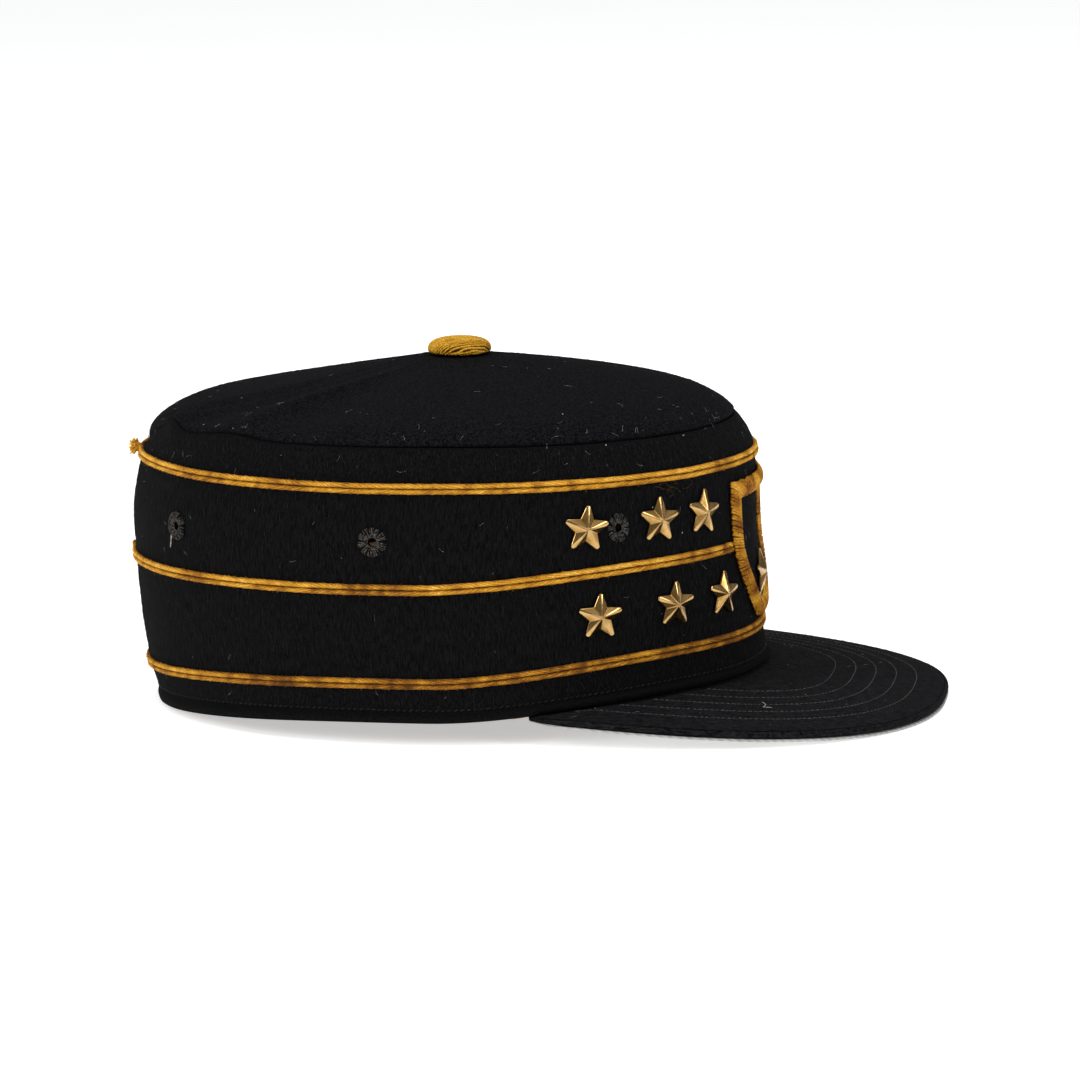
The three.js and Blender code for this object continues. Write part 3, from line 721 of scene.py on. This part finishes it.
def makeStripe(name, node, level, start, end, curl=0):
    paths, deep, strays = [], [], []
    for side in (-1, 1):
        axis, along, up, out = cordAxis(level, start, end, side, curl)
        run = runOf(axis)
        loose = noiseAt([(at * 0.09, level, side * 5) for at in run])
        turn = side * 2 * np.pi * (run / braid["lay"] + 0.5 * loose)
        for yarn in range(braid["yarns"]):
            phase = (turn + 2 * np.pi * yarn / braid["yarns"])[:, None]
            reach = braid["cord"] - braid["yarn"] + 0.05 * np.sin(run * (0.83 + 0.21 * yarn) + level)[:, None]
            paths.append(axis + reach * (np.cos(phase) * up + np.sin(phase) * out))
            deep.append(np.hstack([axis, up * side, out])[np.r_[:len(axis), 0, len(axis) - 1]])
        count = int(run[-1] * braid["stray"])
        at, spin = draw.integers(12, len(axis), count), draw.uniform(0, np.pi, count)[:, None]
        away = np.cos(spin) * up[at] + np.sin(spin) * out[at]
        lean = unit(away + draw.normal(0, 1.1, count)[:, None] * along[at])
        root = axis[at] + 0.85 * braid["cord"] * away
        tip = root + lean * draw.uniform(0.35, 0.95, count)[:, None]
        middle = (root + tip) / 2 + draw.normal(0, 0.1, (count, 3))
        strays += list(np.stack([root, middle, tip], 1))
    stripe = threadsFrom(name, paths, braid["yarn"], 6,
                         lambda t: np.clip(np.minimum(t, 1 - t) * 900 + 0.5, 0, 1))
    places = pointsOf(stripe)
    # the groove attribute is painted shade: darker deep between the yarns, on yarns that face the crevice
    # between the two cords (broken up by noise), and on the cords' sides and undersides towards the wall,
    # where it stands for shade and some dirt
    centre = np.repeat(np.vstack(deep), 6, axis=0)
    off = places - centre[:, :3]
    between = np.clip((0.92 - np.linalg.norm(off, axis=1) / braid["cord"]) / 0.3, 0, 1)
    inside = np.clip((-(off * centre[:, 3:6]).sum(1) / braid["cord"] - 0.6) / 0.4, 0, 1)
    paintedCreviceShade = (0.35 + 0.7 * noiseAt(places * 0.6)) * inside
    paintedShadeAndDirt = 0.55 * np.clip(1 - (off * centre[:, 6:]).sum(1) / braid["cord"], 0, 1)
    setAttribute(stripe, "groove", np.maximum(0.8 * between, paintedCreviceShade) + paintedShadeAndDirt)
    setAttribute(stripe, "soil", soilOf(places, level))
    fibres = threadsFrom(name + "Fibres", strays, braid["strayThick"], 4, lambda t: 1 - 0.5 * t)
    finishPiece(fibres, finishes["looseGold"], "gold_yarn")
    return finishPiece(stripe, finishes["braid"], "gold_yarn", node)


# handled and weathered at the back and along the bottom stripe, cleanest at the front
def soilOf(places, level):
    angle = np.degrees(np.arctan2(places[:, 1], places[:, 0] - crown["rows"][5][5])) % 360
    spots = noiseAt(places * 0.045 + [level * 9.0, 0, 0])
    flecks = noiseAt(places * 0.3 + [0, level * 5.0, 0])
    amount = 0.21 + 0.1 * np.cos(np.radians(angle - 265))
    amount += 0.5 * np.clip(spots, 0, 1) + 0.35 * np.clip(flecks, 0, 1)
    if level == crown["stripes"]["bottom"]:
        amount += 0.14 + 0.16 * np.cos(np.radians(angle - 315))
    return np.clip(amount, 0, 1.3)


stripeLevels = crown["stripes"]
jointStart, jointEnd = braid["joint"] + braid["jointGap"] / 2, braid["joint"] - braid["jointGap"] / 2
makeStripe("stripeTop", "stripe_top", stripeLevels["top"], jointStart - 360, jointEnd)
makeStripe("stripeBottom", "stripe_bottom", stripeLevels["bottom"], jointStart - 360, jointEnd)
makeStripe("stripeMiddleLeft", "stripe_middle_left", stripeLevels["middle"], shieldEdge, jointEnd)
makeStripe("stripeMiddleRight", "stripe_middle_right", stripeLevels["middle"], jointStart, 360 - shieldEdge,
           braid["curl"])
print("stripes made")


# the frayed end of the top stripe: a knot of yarn that opens into blunt locks
fray = {"level": 7.05, "knot": 1.7, "length": 3.5, "locks": 15, "thick": 0.6, "lift": 2.0, "soil": 0.25}


def makeFray():
    point, along, up, out = wallPlace(braid["joint"], fray["level"])
    root = point + out * fray["lift"]
    paths = []
    for lock in range(fray["locks"]):
        turn = 2.4 * lock + chance.uniform(-0.12, 0.12)
        reach = 0.35 + 0.75 * lock / fray["locks"]
        way = unit(out * (1.25 - reach) + reach * (math.cos(turn) * up + 0.8 * math.sin(turn) * along))
        length = fray["length"] * chance.uniform(0.85, 1.1)
        curl = np.array([chance.uniform(-0.25, 0.25) for _ in range(3)])
        paths.append([root + way * length * t + curl * t * t for t in np.linspace(0, 1, 6)])
    locks = threadsFrom("frayLocks", paths, fray["thick"], 6, lambda t: 1.0 - 0.45 * t ** 2)
    deselect()
    bpy.ops.mesh.primitive_ico_sphere_add(subdivisions=3, radius=fray["knot"] * mm)
    knot = bpy.context.object
    knot.data.transform(Matrix.Translation(Vector(root) * mm))
    tuft = joinPieces("stripeFray", [knot, locks])
    away = np.linalg.norm(pointsOf(tuft) - root, axis=1)
    setAttribute(tuft, "soil", np.full(len(away), fray["soil"]))
    # painted shade: darker towards the knot, deep in the tuft
    setAttribute(tuft, "groove", np.clip(0.9 - away / fray["length"], 0, 0.6))
    return finishPiece(tuft, finishes["braid"], "gold_yarn", "stripe_fray")


makeFray()


# the emblem: a plain shield outline in satin stitch over padding
def shieldOutline(inset, counts=(150, 44, 120)):
    half, foot = shield["halfWidth"] - inset, shield["foot"] - inset * 0.55
    bottom, high = shield["bottom"] + inset, shield["top"] - inset
    t = np.linspace(0, 1, 200)
    knee = (bottom + shield["turn"]) / 2
    curve = np.c_[(1 - t) ** 2 * foot + 2 * t * (1 - t) * half + t ** 2 * half,
                  (1 - t) ** 2 * (bottom + 1) + 2 * t * (1 - t) * knee + t ** 2 * shield["turn"]]
    side = np.vstack([curve, [[half, high]]])
    run = runOf(side)
    right = readLine(side, run, np.linspace(0, run[-1], counts[0]))
    left = right[::-1] * [-1, 1]

    def between(start, end, count, drop):
        share = (np.arange(count)[:, None] + 1) / (count + 1)
        line = start + (end - start) * share
        line[:, 1] -= drop * (1 - (2 * share[:, 0] - 1) ** 2)
        return line

    return np.vstack([right, between(right[-1], left[0], counts[2], 0), left,
                      between(left[-1], right[0], counts[1], 1)])


def shieldPlace(flat, proud):
    angle = np.degrees(flat[:, 0] / shield["bend"])
    point, _, _, out = wallPlace(angle, levelAtHeight(angle, flat[:, 1]))
    return point + out * proud[:, None]


def makeEmblem():
    edge, inner = shieldOutline(0), shieldOutline(shield["stroke"])
    run, flat, proud = runOf(edge), [], []
    for at in np.arange(0, run[-1], shield["spacing"]):
        slip = at + chance.uniform(-0.25, 0.25)
        start = readLine(edge, run, slip)
        slips = [slip + chance.uniform(-0.5, 0.5) for _ in (0, 1)]
        end = [np.interp(slips[i], run, inner[:, i]) for i in (0, 1)]
        reach = np.linspace(chance.uniform(-0.07, 0.04), chance.uniform(0.96, 1.07), 9)
        flat.append(start + (end - start) * reach[:, None])
        swell = np.sin(np.pi * np.clip(reach, 0.02, 0.98)) ** 0.55
        proud.append(shield["lift"] + 0.85 * shield["thick"] * swell)
    paths = shieldPlace(np.vstack(flat), np.concatenate(proud)).reshape(-1, 9, 3)
    stitches = threadsFrom("emblemStitches", paths, shield["thread"])
    section = np.array([(0.04, 0), (0.06, 0.45), (0.25, 0.8), (0.5, 0.95), (0.75, 0.8), (0.94, 0.45),
                        (0.96, 0), (0.04, 0)])

    def place(across, along):
        step = np.rint(across * len(edge)).astype(int) % len(edge)
        rows = rowsOf(section, along)
        across = edge[step] + (inner - edge)[step] * rows[:, :1]
        return shieldPlace(across, 0.3 + rows[:, 1] * 0.7 * shield["thick"])

    padding = clothFrom("emblemPadding", len(edge), len(section) - 1, place)
    # painted shade: the padding shows only between the stitches and is darkened all over
    setAttribute(padding, "groove", np.ones(len(padding.data.vertices)))
    emblem = joinPieces("frontEmblem", [padding, stitches])
    spots = noiseAt(pointsOf(emblem) * 0.16)
    setAttribute(emblem, "soil", np.clip(0.3 + 0.8 * spots, 0, 1.2))
    return finishPiece(emblem, finishes["satin"], "gold_yarn", "front_emblem")


makeEmblem()
print("emblem made")


# pressed stars: an outline drawn in at every second corner, raised to a point and softened on its ridges
star = {"radius": 9.5, "inner": 4.1, "tip": 2.0, "edge": 0.8, "height": 2.9, "ridge": 0.22, "lift": 0.35,
        "upright": 6,
        "rows": {"upper": (6.0, (55.2, 39.8, 27.6)), "lower": (4.04, (53.6, 37.1, 22.7))},
        "front": (0, 4.14)}


def modelStar():
    deselect()
    bpy.ops.mesh.primitive_circle_add(vertices=10, radius=star["radius"] * mm, fill_type="NGON")
    shape = bpy.context.object
    editAll(shape)

    def step(place):
        return round(math.atan2(place.x, place.y) * 5 / math.pi)

    pickPoints(shape, lambda place: step(place) % 2)
    share = star["inner"] / star["radius"]
    bpy.ops.transform.resize(value=(share, share, 1), center_override=(0, 0, 0))
    pickPoints(shape, lambda place: place.length > 0.9 * star["radius"] * mm)
    bpy.ops.mesh.bevel(offset=star["tip"] * mm, segments=2, profile=0.35, affect="VERTICES")
    bpy.ops.mesh.select_all(action="SELECT")
    bpy.ops.mesh.extrude_region_move(TRANSFORM_OT_translate={"value": (0, 0, star["edge"] * mm)})
    bpy.ops.mesh.select_mode(type="FACE")
    bpy.ops.mesh.poke()
    bpy.ops.mesh.select_mode(type="VERT")
    pickPoints(shape, lambda place: place.xy.length < 0.01 * mm)
    bpy.ops.transform.translate(value=(0, 0, (star["height"] - star["edge"]) * mm))
    pickPoints(shape, lambda place: place.z < 0.01 * mm)
    bpy.ops.mesh.edge_face_add()
    bpy.ops.mesh.select_all(action="SELECT")
    bpy.ops.mesh.normals_make_consistent(inside=False)
    bpy.ops.object.mode_set(mode="OBJECT")
    applyModifier(shape, "BEVEL", width=star["ridge"] * mm, segments=2, limit_method="ANGLE",
                  angle_limit=math.radians(12))
    bpy.ops.object.shade_flat()
    places = pointsOf(shape)
    turn = np.arctan2(places[:, 0], places[:, 1])
    hollow = 0.5 - 0.5 * np.cos(5 * turn)
    low = np.clip(1 - places[:, 2] / star["height"], 0, 1)
    setAttribute(shape, "patina", 0.05 + 0.32 * hollow * low + 0.3 * (places[:, 2] < 0.4))
    return shape


def makeStars():
    model = modelStar()
    spots = [("star_front", *star["front"])]
    for row, (level, angles) in star["rows"].items():
        for side, sign in (("right", -1), ("left", 1)):
            spots += [(f"star_{row}_{side}_{i + 1}", sign * angle, level) for i, angle in enumerate(angles)]
    for node, angle, level in spots:
        twist = math.copysign(star["upright"], angle) * (angle != 0) + chance.uniform(-2, 2)
        piece = copyPiece(model, "star" + titleWords(node), frameAt(angle, level, star["lift"], twist))
        finishPiece(piece, finishes["brass"], "brass", node)
    bpy.data.objects.remove(model)


makeStars()
print("stars made")


# stitched eyelets: a padded ring under close threads that run from the hole to its edge
def modelEyelet():
    deselect()
    bpy.ops.mesh.primitive_torus_add(major_segments=36, minor_segments=10, major_radius=eyelet["ring"] * mm,
                                     minor_radius=eyelet["half"] * mm)
    ring = bpy.context.object
    ring.data.transform(Matrix.Diagonal((1, 1, 0.45, 1)))
    bpy.ops.object.shade_smooth()
    paths = []
    for stitch in range(eyelet["stitches"]):
        turn = 2 * math.pi * (stitch + chance.uniform(-0.25, 0.25)) / eyelet["stitches"]
        slew = chance.uniform(-0.07, 0.07)
        path = []
        for t in np.linspace(-0.1, math.pi + 0.1, 7):
            reach = eyelet["ring"] - (eyelet["half"] + 0.1) * math.cos(t) + chance.uniform(-0.06, 0.06)
            spun = turn + slew * t
            path.append((reach * math.cos(spun), reach * math.sin(spun), 0.72 * math.sin(t)))
        paths.append(path)
    return ring, threadsFrom("eyeletThreads", paths, eyelet["thread"], 6)


def makeEyelets():
    ring, threads = modelEyelet()
    for turn, (node, angle) in enumerate(eyeletPlaces):
        squeeze = Matrix.Diagonal((eyelet["drawnIn"].get(node, 1), 1, 1, 1))
        place = frameAt(angle, eyelet["level"], 0.25) @ squeeze @ Matrix.Rotation(0.9 * turn, 4, "Z")
        for model, name, finish, nodes in ((ring, "eyelet", "eyeletPad", [node]),
                                           (threads, "eyeletThreads", "eyelet", [])):
            piece = copyPiece(model, name + titleWords(node), place)
            finishPiece(piece, finishes[finish], "black_thread", *nodes)
    for model in (ring, threads):
        bpy.data.objects.remove(model)
    # a thread end hangs from the one at the back
    tail = [(-1.6 - 0.25 * t * t, -3.2 - 4.2 * t, 1.0 + 0.2 * t) for t in np.linspace(0, 1, 6)]
    hanging = threadsFrom("eyeletThreadEnd", [tail], 0.16)
    hanging.data.transform(frameAt(-eyelet["angles"][2], eyelet["level"], 0.35))
    finishPiece(hanging, finishes["fleck"], "black_thread")


makeEyelets()
print("eyelets made")


# the visor: upper cloth over a board, rounded at its edge, with pale cloth below
visor = {"corner": 69, "wideX": 25.5, "wideShare": 0.72, "halfWidth": 86.9, "tipX": 142.0, "square": 2.5,
         "top": 2.6, "gap": 0.15, "under": 0.8, "solidGap": 0.25, "recess": 0.45, "cornerShare": 0.3,
         "tuck": 2.1, "restX": 131.3, "power": 1.25, "camber": 0.4, "across": 220, "rows": 64,
         "stitchRows": (11.0, 18.0, 25.0, 32.0, 39.0), "stitch": 1.35, "stitchGap": 0.5, "thread": 0.15,
         "rimOval": (107.6, 87.2)}  # the rows of stitches stop at the hem


def visorEdge(share):
    size, side = np.abs(share), np.sign(share)
    corner = wallPoint(visor["corner"], 0.0)
    turn = np.pi / 2 * np.minimum(size / visor["wideShare"], 1)
    power = 2 / visor["square"]
    x = visor["wideX"] + (visor["tipX"] - visor["wideX"]) * np.maximum(np.cos(turn), 0) ** power
    y = visor["halfWidth"] * np.sin(turn) ** power
    back = np.clip((size - visor["wideShare"]) / (1 - visor["wideShare"]), 0, 1)
    x = np.where(back > 0, visor["wideX"] + (corner[0] - visor["wideX"]) * back, x)
    y = np.where(back > 0, visor["halfWidth"] + (corner[1] + 0.3 - visor["halfWidth"]) * back ** 2, y)
    return np.stack([x, side * y], -1)


def visorPoint(share, outward, depth):
    share, outward, depth = np.broadcast_arrays(*(np.asarray(v, float) for v in (share, outward, depth)))
    point, _, _, out = wallPlace(share * visor["corner"], 0)
    out[..., 2] = 0
    inner = point - unit(out) * visor["tuck"]
    corner = wallPoint(visor["corner"], 0.0)
    full = visor["top"] + visor["solidGap"] + visor["under"]  # as thick as the solids
    thin = 1 + (visor["cornerShare"] - 1) * np.abs(share) ** 6
    edge = visorEdge(share)
    back = np.clip((visor["restX"] - edge[..., 0]) / (visor["restX"] - corner[0]), 0, 1)
    foot = (corner[2] - 0.3 - full * visor["cornerShare"]) * back ** visor["power"] + full * thin
    camber = visor["camber"] * 6.75 * outward ** 2 * (1 - outward) * (1 - share ** 2)
    x = inner[..., 0] + (edge[..., 0] - inner[..., 0]) * outward
    y = inner[..., 1] + (edge[..., 1] - inner[..., 1]) * outward
    z = inner[..., 2] - 0.3 + (foot - inner[..., 2] + 0.3) * outward + camber - depth * thin
    return np.stack([x, y, z], -1)


def makeVisorPly(name, upper, lower, recess, material, slot, node):
    half = (lower - upper) / 2
    rounds = [(1, half * (1 - math.sin(t)) + upper, half * (1 - math.cos(t)))
              for t in np.linspace(math.pi / 2, -math.pi / 2, 11)]
    section = [(r, upper, 0) for r in np.linspace(0, 0.985, visor["rows"])] + rounds
    section = np.array(section + [(r, lower, 0) for r in np.linspace(0.985, 0, 30)] + [(0, upper, 0)])

    def place(across, along):
        row = rowsOf(section, along)
        share = 2 * across - 1
        length = np.linalg.norm(visorPoint(share, 1, 0) - visorPoint(share, 0, 0), axis=-1)
        tuckedIn = recess * (0.05 + 14 * np.maximum(np.abs(share) - 0.5, 0) ** 2)
        drawnIn = np.minimum((row[:, 2] + tuckedIn) / length, 0.5)
        return visorPoint(share, row[:, 0] - np.where(row[:, 0] > 0.98, drawnIn, 0), row[:, 1])

    ply = clothFrom(name, visor["across"], len(section) - 1, place)
    return finishPiece(ply, material, slot, node)


makeVisorPly("visorTop", 0.0, visor["top"], 0.0, finishes["visor"], "wool_felt", "visor_top")
under = visor["top"] + visor["gap"]
makeVisorPly("visorUnder", under, under + visor["under"], visor["recess"], finishes["under"], "grey_cloth",
             "visor_under")
print("visor made")


# sewing: short stitches that dip into the cloth at both ends
def stitchPaths(line, outs, length, gap, proud, slew=0.0):
    run, paths = runOf(line), []
    for start in np.arange(0, run[-1] - length, length + gap):
        path = []
        for t in np.linspace(0, 1, 5):
            at = start + t * length
            lift = proud * math.sin(math.pi * t) - 0.08
            point = readLine(line, run, at) + readLine(outs, run, at) * lift
            path.append(point + [0, 0, slew * (t - 0.5)])
        paths.append(path)
    return paths


# rows run at a set distance inside the visor's edge, as a sewing machine's guide would lead them
def visorRow(distance, depth, side):
    share = np.linspace(-0.995, 0.995, 700)
    edge = visorPoint(share, 1, 0)
    way = unit(np.gradient(edge[:, :2], axis=0))
    inward = np.c_[-way[:, 1], way[:, 0]]
    plan = edge[:, :2] + inward * distance
    shares, outs = np.meshgrid(np.linspace(-1, 1, 201), np.linspace(0, 1, 81), indexing="ij")
    grid = visorPoint(shares, outs, depth).reshape(-1, 3)
    tree = kdtree.KDTree(len(grid))
    for i, place in enumerate(grid):
        tree.insert((place[0], place[1], 0), i)
    tree.balance()
    line = []
    for x, y in plan:
        near = tree.find_n((x, y, 0), 4)
        weights = [1 / (gap + 0.05) for _, _, gap in near]
        height = sum(grid[i, 2] * weight for (_, i, _), weight in zip(near, weights)) / sum(weights)
        line.append((x, y, height, near[0][2]))
    line = np.array(line)
    centre = line[:, 0] - crown["rows"][0][5]
    long, wide = visor["rimOval"]
    outside = (centre / long) ** 2 + (line[:, 1] / wide) ** 2 > 1
    line = line[outside & (line[:, 3] < 2.5)]
    return line[:, :3], np.tile([0, 0, side], (len(line), 1))


hem = {"level": 2.06, "sunk": 0.15, "stitch": 1.15, "gap": 1.0, "proud": 0.28, "slew": 0.35, "thread": 0.22}


def makeStitches():
    lowest = under + visor["under"]
    for name, depth, side, proud, slot in (("visorStitches", 0, 1, 0.22, "black_thread"),
                                           ("visorUnderStitches", lowest, -1, 0.2, "grey_cloth")):
        paths = []
        for distance in visor["stitchRows"]:
            line, outs = visorRow(distance, depth, side)
            paths += stitchPaths(line, outs, visor["stitch"], visor["stitchGap"], proud)
        finishPiece(threadsFrom(name, paths, visor["thread"]), finishes["visorThread"], slot)
    point, _, _, out = wallPlace(np.linspace(0, 360, 1500), hem["level"])
    paths = stitchPaths(point - out * hem["sunk"], out, hem["stitch"], hem["gap"], hem["proud"], hem["slew"])
    finishPiece(threadsFrom("hemStitches", paths, hem["thread"]), finishes["hemThread"], "black_thread")


makeStitches()
print("stitching made")


# the sweatband: leather that lines the rim and peeks out at the end of the visor
band = {"leather": 1.2, "height": 32, "clear": 0.35, "foot": 0.6, "around": 256,
        "peek": {"angle": 289, "halfSpan": 6, "lift": -1.5},
        "seamShare": 0.13, "stitch": 2.6, "stitchGap": 1.2, "proud": 0.25, "thread": 0.22}


def bandPoint(angle, share, depth):
    foot = wallPoint(angle, 0)[:, 2] + band["foot"] + foldShare(band["peek"], angle)
    height = foot + band["height"] * share
    point, _, _, out = wallPlace(angle, levelAtHeight(angle, height))
    out[:, 2] = 0
    point = point - unit(out) * (crown["cloth"] + band["clear"] + depth)[:, None]
    point[:, 2] = np.maximum(height, 0)
    return point


def makeBand():
    thick = band["leather"]
    section = [(0.0, 0.25 * thick), (0.012, 0.05), (0.03, 0)] + [(s, 0) for s in np.linspace(0.1, 0.97, 12)]
    section += [(0.99, 0.1), (1, thick / 2), (0.99, thick - 0.1)]
    section += [(s, thick) for s in np.linspace(0.97, 0.1, 12)]
    section += [(0.03, thick), (0.012, thick - 0.05), (0.0, 0.75 * thick), (0.0, 0.25 * thick)]
    section = np.array(section)

    def place(across, along):
        row = rowsOf(section, along)
        return bandPoint(360 * across, row[:, 0], row[:, 1])

    leather = clothFrom("sweatband", band["around"], len(section) - 1, place)
    finishPiece(leather, finishes["leather"], "tan_leather", "sweatband")
    angles = np.linspace(0, 360, 900)
    line = bandPoint(angles, np.full(900, band["seamShare"]), np.full(900, thick))
    _, _, _, out = wallPlace(angles, 1)
    paths = stitchPaths(line, -out, band["stitch"], band["stitchGap"], band["proud"])
    seam = threadsFrom("bandStitches", paths, band["thread"])
    finishPiece(seam, finishes["tanThread"], "tan_leather")


makeBand()
print("sweatband made")


# loose hairs of the wool, lint and flecks that have settled on it: how many on the wall, the top and the
# visor, how long and thick, how far they stray from the nap and how they curl
fuzz = {
    "woolHairs": {"counts": (3700, 1400, 900), "length": (0.7, 1.7), "thick": 0.05, "stray": 0.2,
                  "curl": 0.15, "finish": "nap"},
    "lint": {"counts": (150, 150, 40), "length": (0.4, 2.7), "thick": 0.05, "stray": 2.0, "curl": 0.4,
             "finish": "lint"},
    "flecks": {"counts": (12, 8, 4), "length": (0.25, 0.6), "thick": 0.14, "stray": 2.0, "curl": 0.4,
               "finish": "fleck"},
    "wallNap": {"counts": (6400, 0, 0), "length": (1.2, 3.2), "thick": 0.05, "stray": 0.14, "curl": 0.22,
                "finish": "nap"},
}


# where hairs are rooted, how they lie and which way is out: on the wall, on the top and on the visor
def hairRoots(counts, stray):
    angle, level = draw.uniform(0, 360, counts[0]), draw.uniform(2.3, 8.8, counts[0])
    point, along, up, out = wallPlace(angle, level)
    lie = draw.normal(np.pi, stray, counts[0])[:, None]
    roots = [(point, np.cos(lie) * up + np.sin(lie) * along, out)]
    angle, ring = draw.uniform(0, 360, counts[1]), 8 - 7.6 * np.sqrt(draw.random(counts[1]))
    point, out = topPlace(angle, ring)
    lie = draw.uniform(0, 2 * np.pi, counts[1])
    roots.append((point, unit(np.cross(np.c_[np.sin(lie), np.cos(lie), 0 * lie], out)), out))
    point = visorPoint(draw.uniform(-0.9, 0.9, counts[2]), draw.uniform(0.1, 0.97, counts[2]), 0)
    lie = draw.normal(0.1, stray, counts[2])
    roots.append((point, np.c_[np.cos(lie), np.sin(lie), 0 * lie], np.tile([0, 0, 1.0], (counts[2], 1))))
    return [np.vstack(part) for part in zip(*roots)]


def makeHairs(name):
    kind = fuzz[name]
    point, way, out = hairRoots(kind["counts"], kind["stray"])
    length = draw.uniform(*kind["length"], len(point))[:, None, None]
    bend = draw.normal(0, kind["curl"], len(point))[:, None, None]
    rise = draw.uniform(0.05, 0.3, len(point))[:, None, None]
    t = np.linspace(0, 1, 4)[:, None]
    paths = point[:, None] + way[:, None] * length * t + np.cross(out, way)[:, None] * length * bend * t ** 2
    paths = paths + out[:, None] * (0.02 + rise * t * (1.3 - t))
    hairs = threadsFrom(name, paths, kind["thick"], 4, lambda along: 1 - 0.5 * along)
    finishPiece(hairs, finishes[kind["finish"]], "wool_felt")


# a few long fibres, shed by the braid, that lie in loops on the cloth, and a curl of lint on the visor
shed = {"angle": 323, "level": 6.72, "count": 11, "length": 8, "spread": 3.5, "thick": 0.06, "points": 14,
        "levels": (5.6, 6.9), "lintThick": 0.08}


def makeShed():
    count, spread, paths = shed["points"], shed["spread"], []
    t = np.linspace(0, 1, count)
    for _ in range(shed["count"]):
        wander = np.cumsum(draw.normal(0, 0.5, count))
        heading = chance.uniform(0, 6.28) + wander + chance.uniform(-2.5, 2.5) * t
        step = shed["length"] * chance.uniform(0.5, 1) / count
        angle = shed["angle"] + chance.uniform(-spread, spread) + np.cumsum(np.cos(heading)) * step / 1.6
        level = shed["level"] + chance.uniform(-0.12, 0.06) + np.cumsum(np.sin(heading)) * step / 20
        point, _, _, out = wallPlace(angle, np.clip(level, *shed["levels"]))
        paths.append(point + out * (0.15 + 0.4 * np.sin(np.pi * t))[:, None])
    shedGold = threadsFrom("shedFibres", paths, shed["thick"], 4)
    finishPiece(shedGold, finishes["shed"], "gold_yarn")
    loop = visorPoint(-0.4 + 0.012 * np.cos(5 * t), 0.44 + 0.13 * t + 0.02 * np.sin(5 * t), 0) + [0, 0, 0.2]
    curled = threadsFrom("visorLint", [loop], shed["lintThick"], 4)
    finishPiece(curled, finishes["fleck"], "wool_felt")


for kindName in ("woolHairs", "lint", "flecks"):
    makeHairs(kindName)
makeShed()
makeHairs("wallNap")
print("fuzz made")


# stage: pale floor and soft studio light
stage = {"floor": ("#f4f4f3", "#f6f6f6"), "glow": 0.5, "worldStrength": 0.55,
         "world": [(0.0, "#7c7f83"), (0.2, "#979a9e"), (0.55, "#eceef0"), (1.0, "#ffffff")],
         "lights": {"topLight": ((-0.1, -0.2, 2.2), (2.0, 1.6), 26),  # place and size in m, power in W
                    "keyLight": ((-1.5, -1.6, 1.3), (0.9, 1.3), 25),
                    "frontLight": ((1.9, -0.9, 1.0), (0.6, 1.2), 15)}}


def addSoftbox(name, place, size, power, aim=(-0.01, 0, 0.06)):
    bpy.ops.object.light_add(type="AREA", location=place)
    lamp = bpy.context.object
    lamp.name = name
    lamp.data.shape = "RECTANGLE"
    lamp.data.size, lamp.data.size_y = size
    lamp.data.energy = power
    lamp.rotation_euler = (Vector(aim) - Vector(place)).to_track_quat("-Z", "Y").to_euler()


def makeStage():
    deselect()
    bpy.ops.mesh.primitive_plane_add(size=24)
    floor = bpy.context.object
    floor.name = "floor"
    material, tree, shader, where = newMaterial("paleFloor", {
        "Roughness": 0.8, "Specular IOR Level": 0.1,
        "Emission Color": colour("#ffffff"), "Emission Strength": stage["glow"]})
    cloud = addNode(tree, "ShaderNodeTexNoise", {"Scale": 3.0, "Detail": 2}, {"Vector": where})
    colourAndRelief(tree, shader, list(zip((0.3, 0.7), stage["floor"])), cloud.outputs["Fac"])
    floor.data.materials.append(material)
    scene.world = bpy.data.worlds.new("studio")
    scene.world.use_nodes = True
    tree = scene.world.node_tree
    sky = tree.nodes["Background"]
    height = addNode(tree, "ShaderNodeSeparateXYZ", {},
                     {"Vector": addNode(tree, "ShaderNodeTexCoord").outputs["Generated"]})
    ramp = addNode(tree, "ShaderNodeValToRGB", {"stops": stage["world"]}, {"Fac": height.outputs["Z"]})
    tree.links.new(ramp.outputs["Color"], sky.inputs["Color"])
    sky.inputs["Strength"].default_value = stage["worldStrength"]
    for name, light in stage["lights"].items():
        addSoftbox(name, *light)
    scene.view_settings.view_transform = "Standard"


makeStage()
print("stage set")
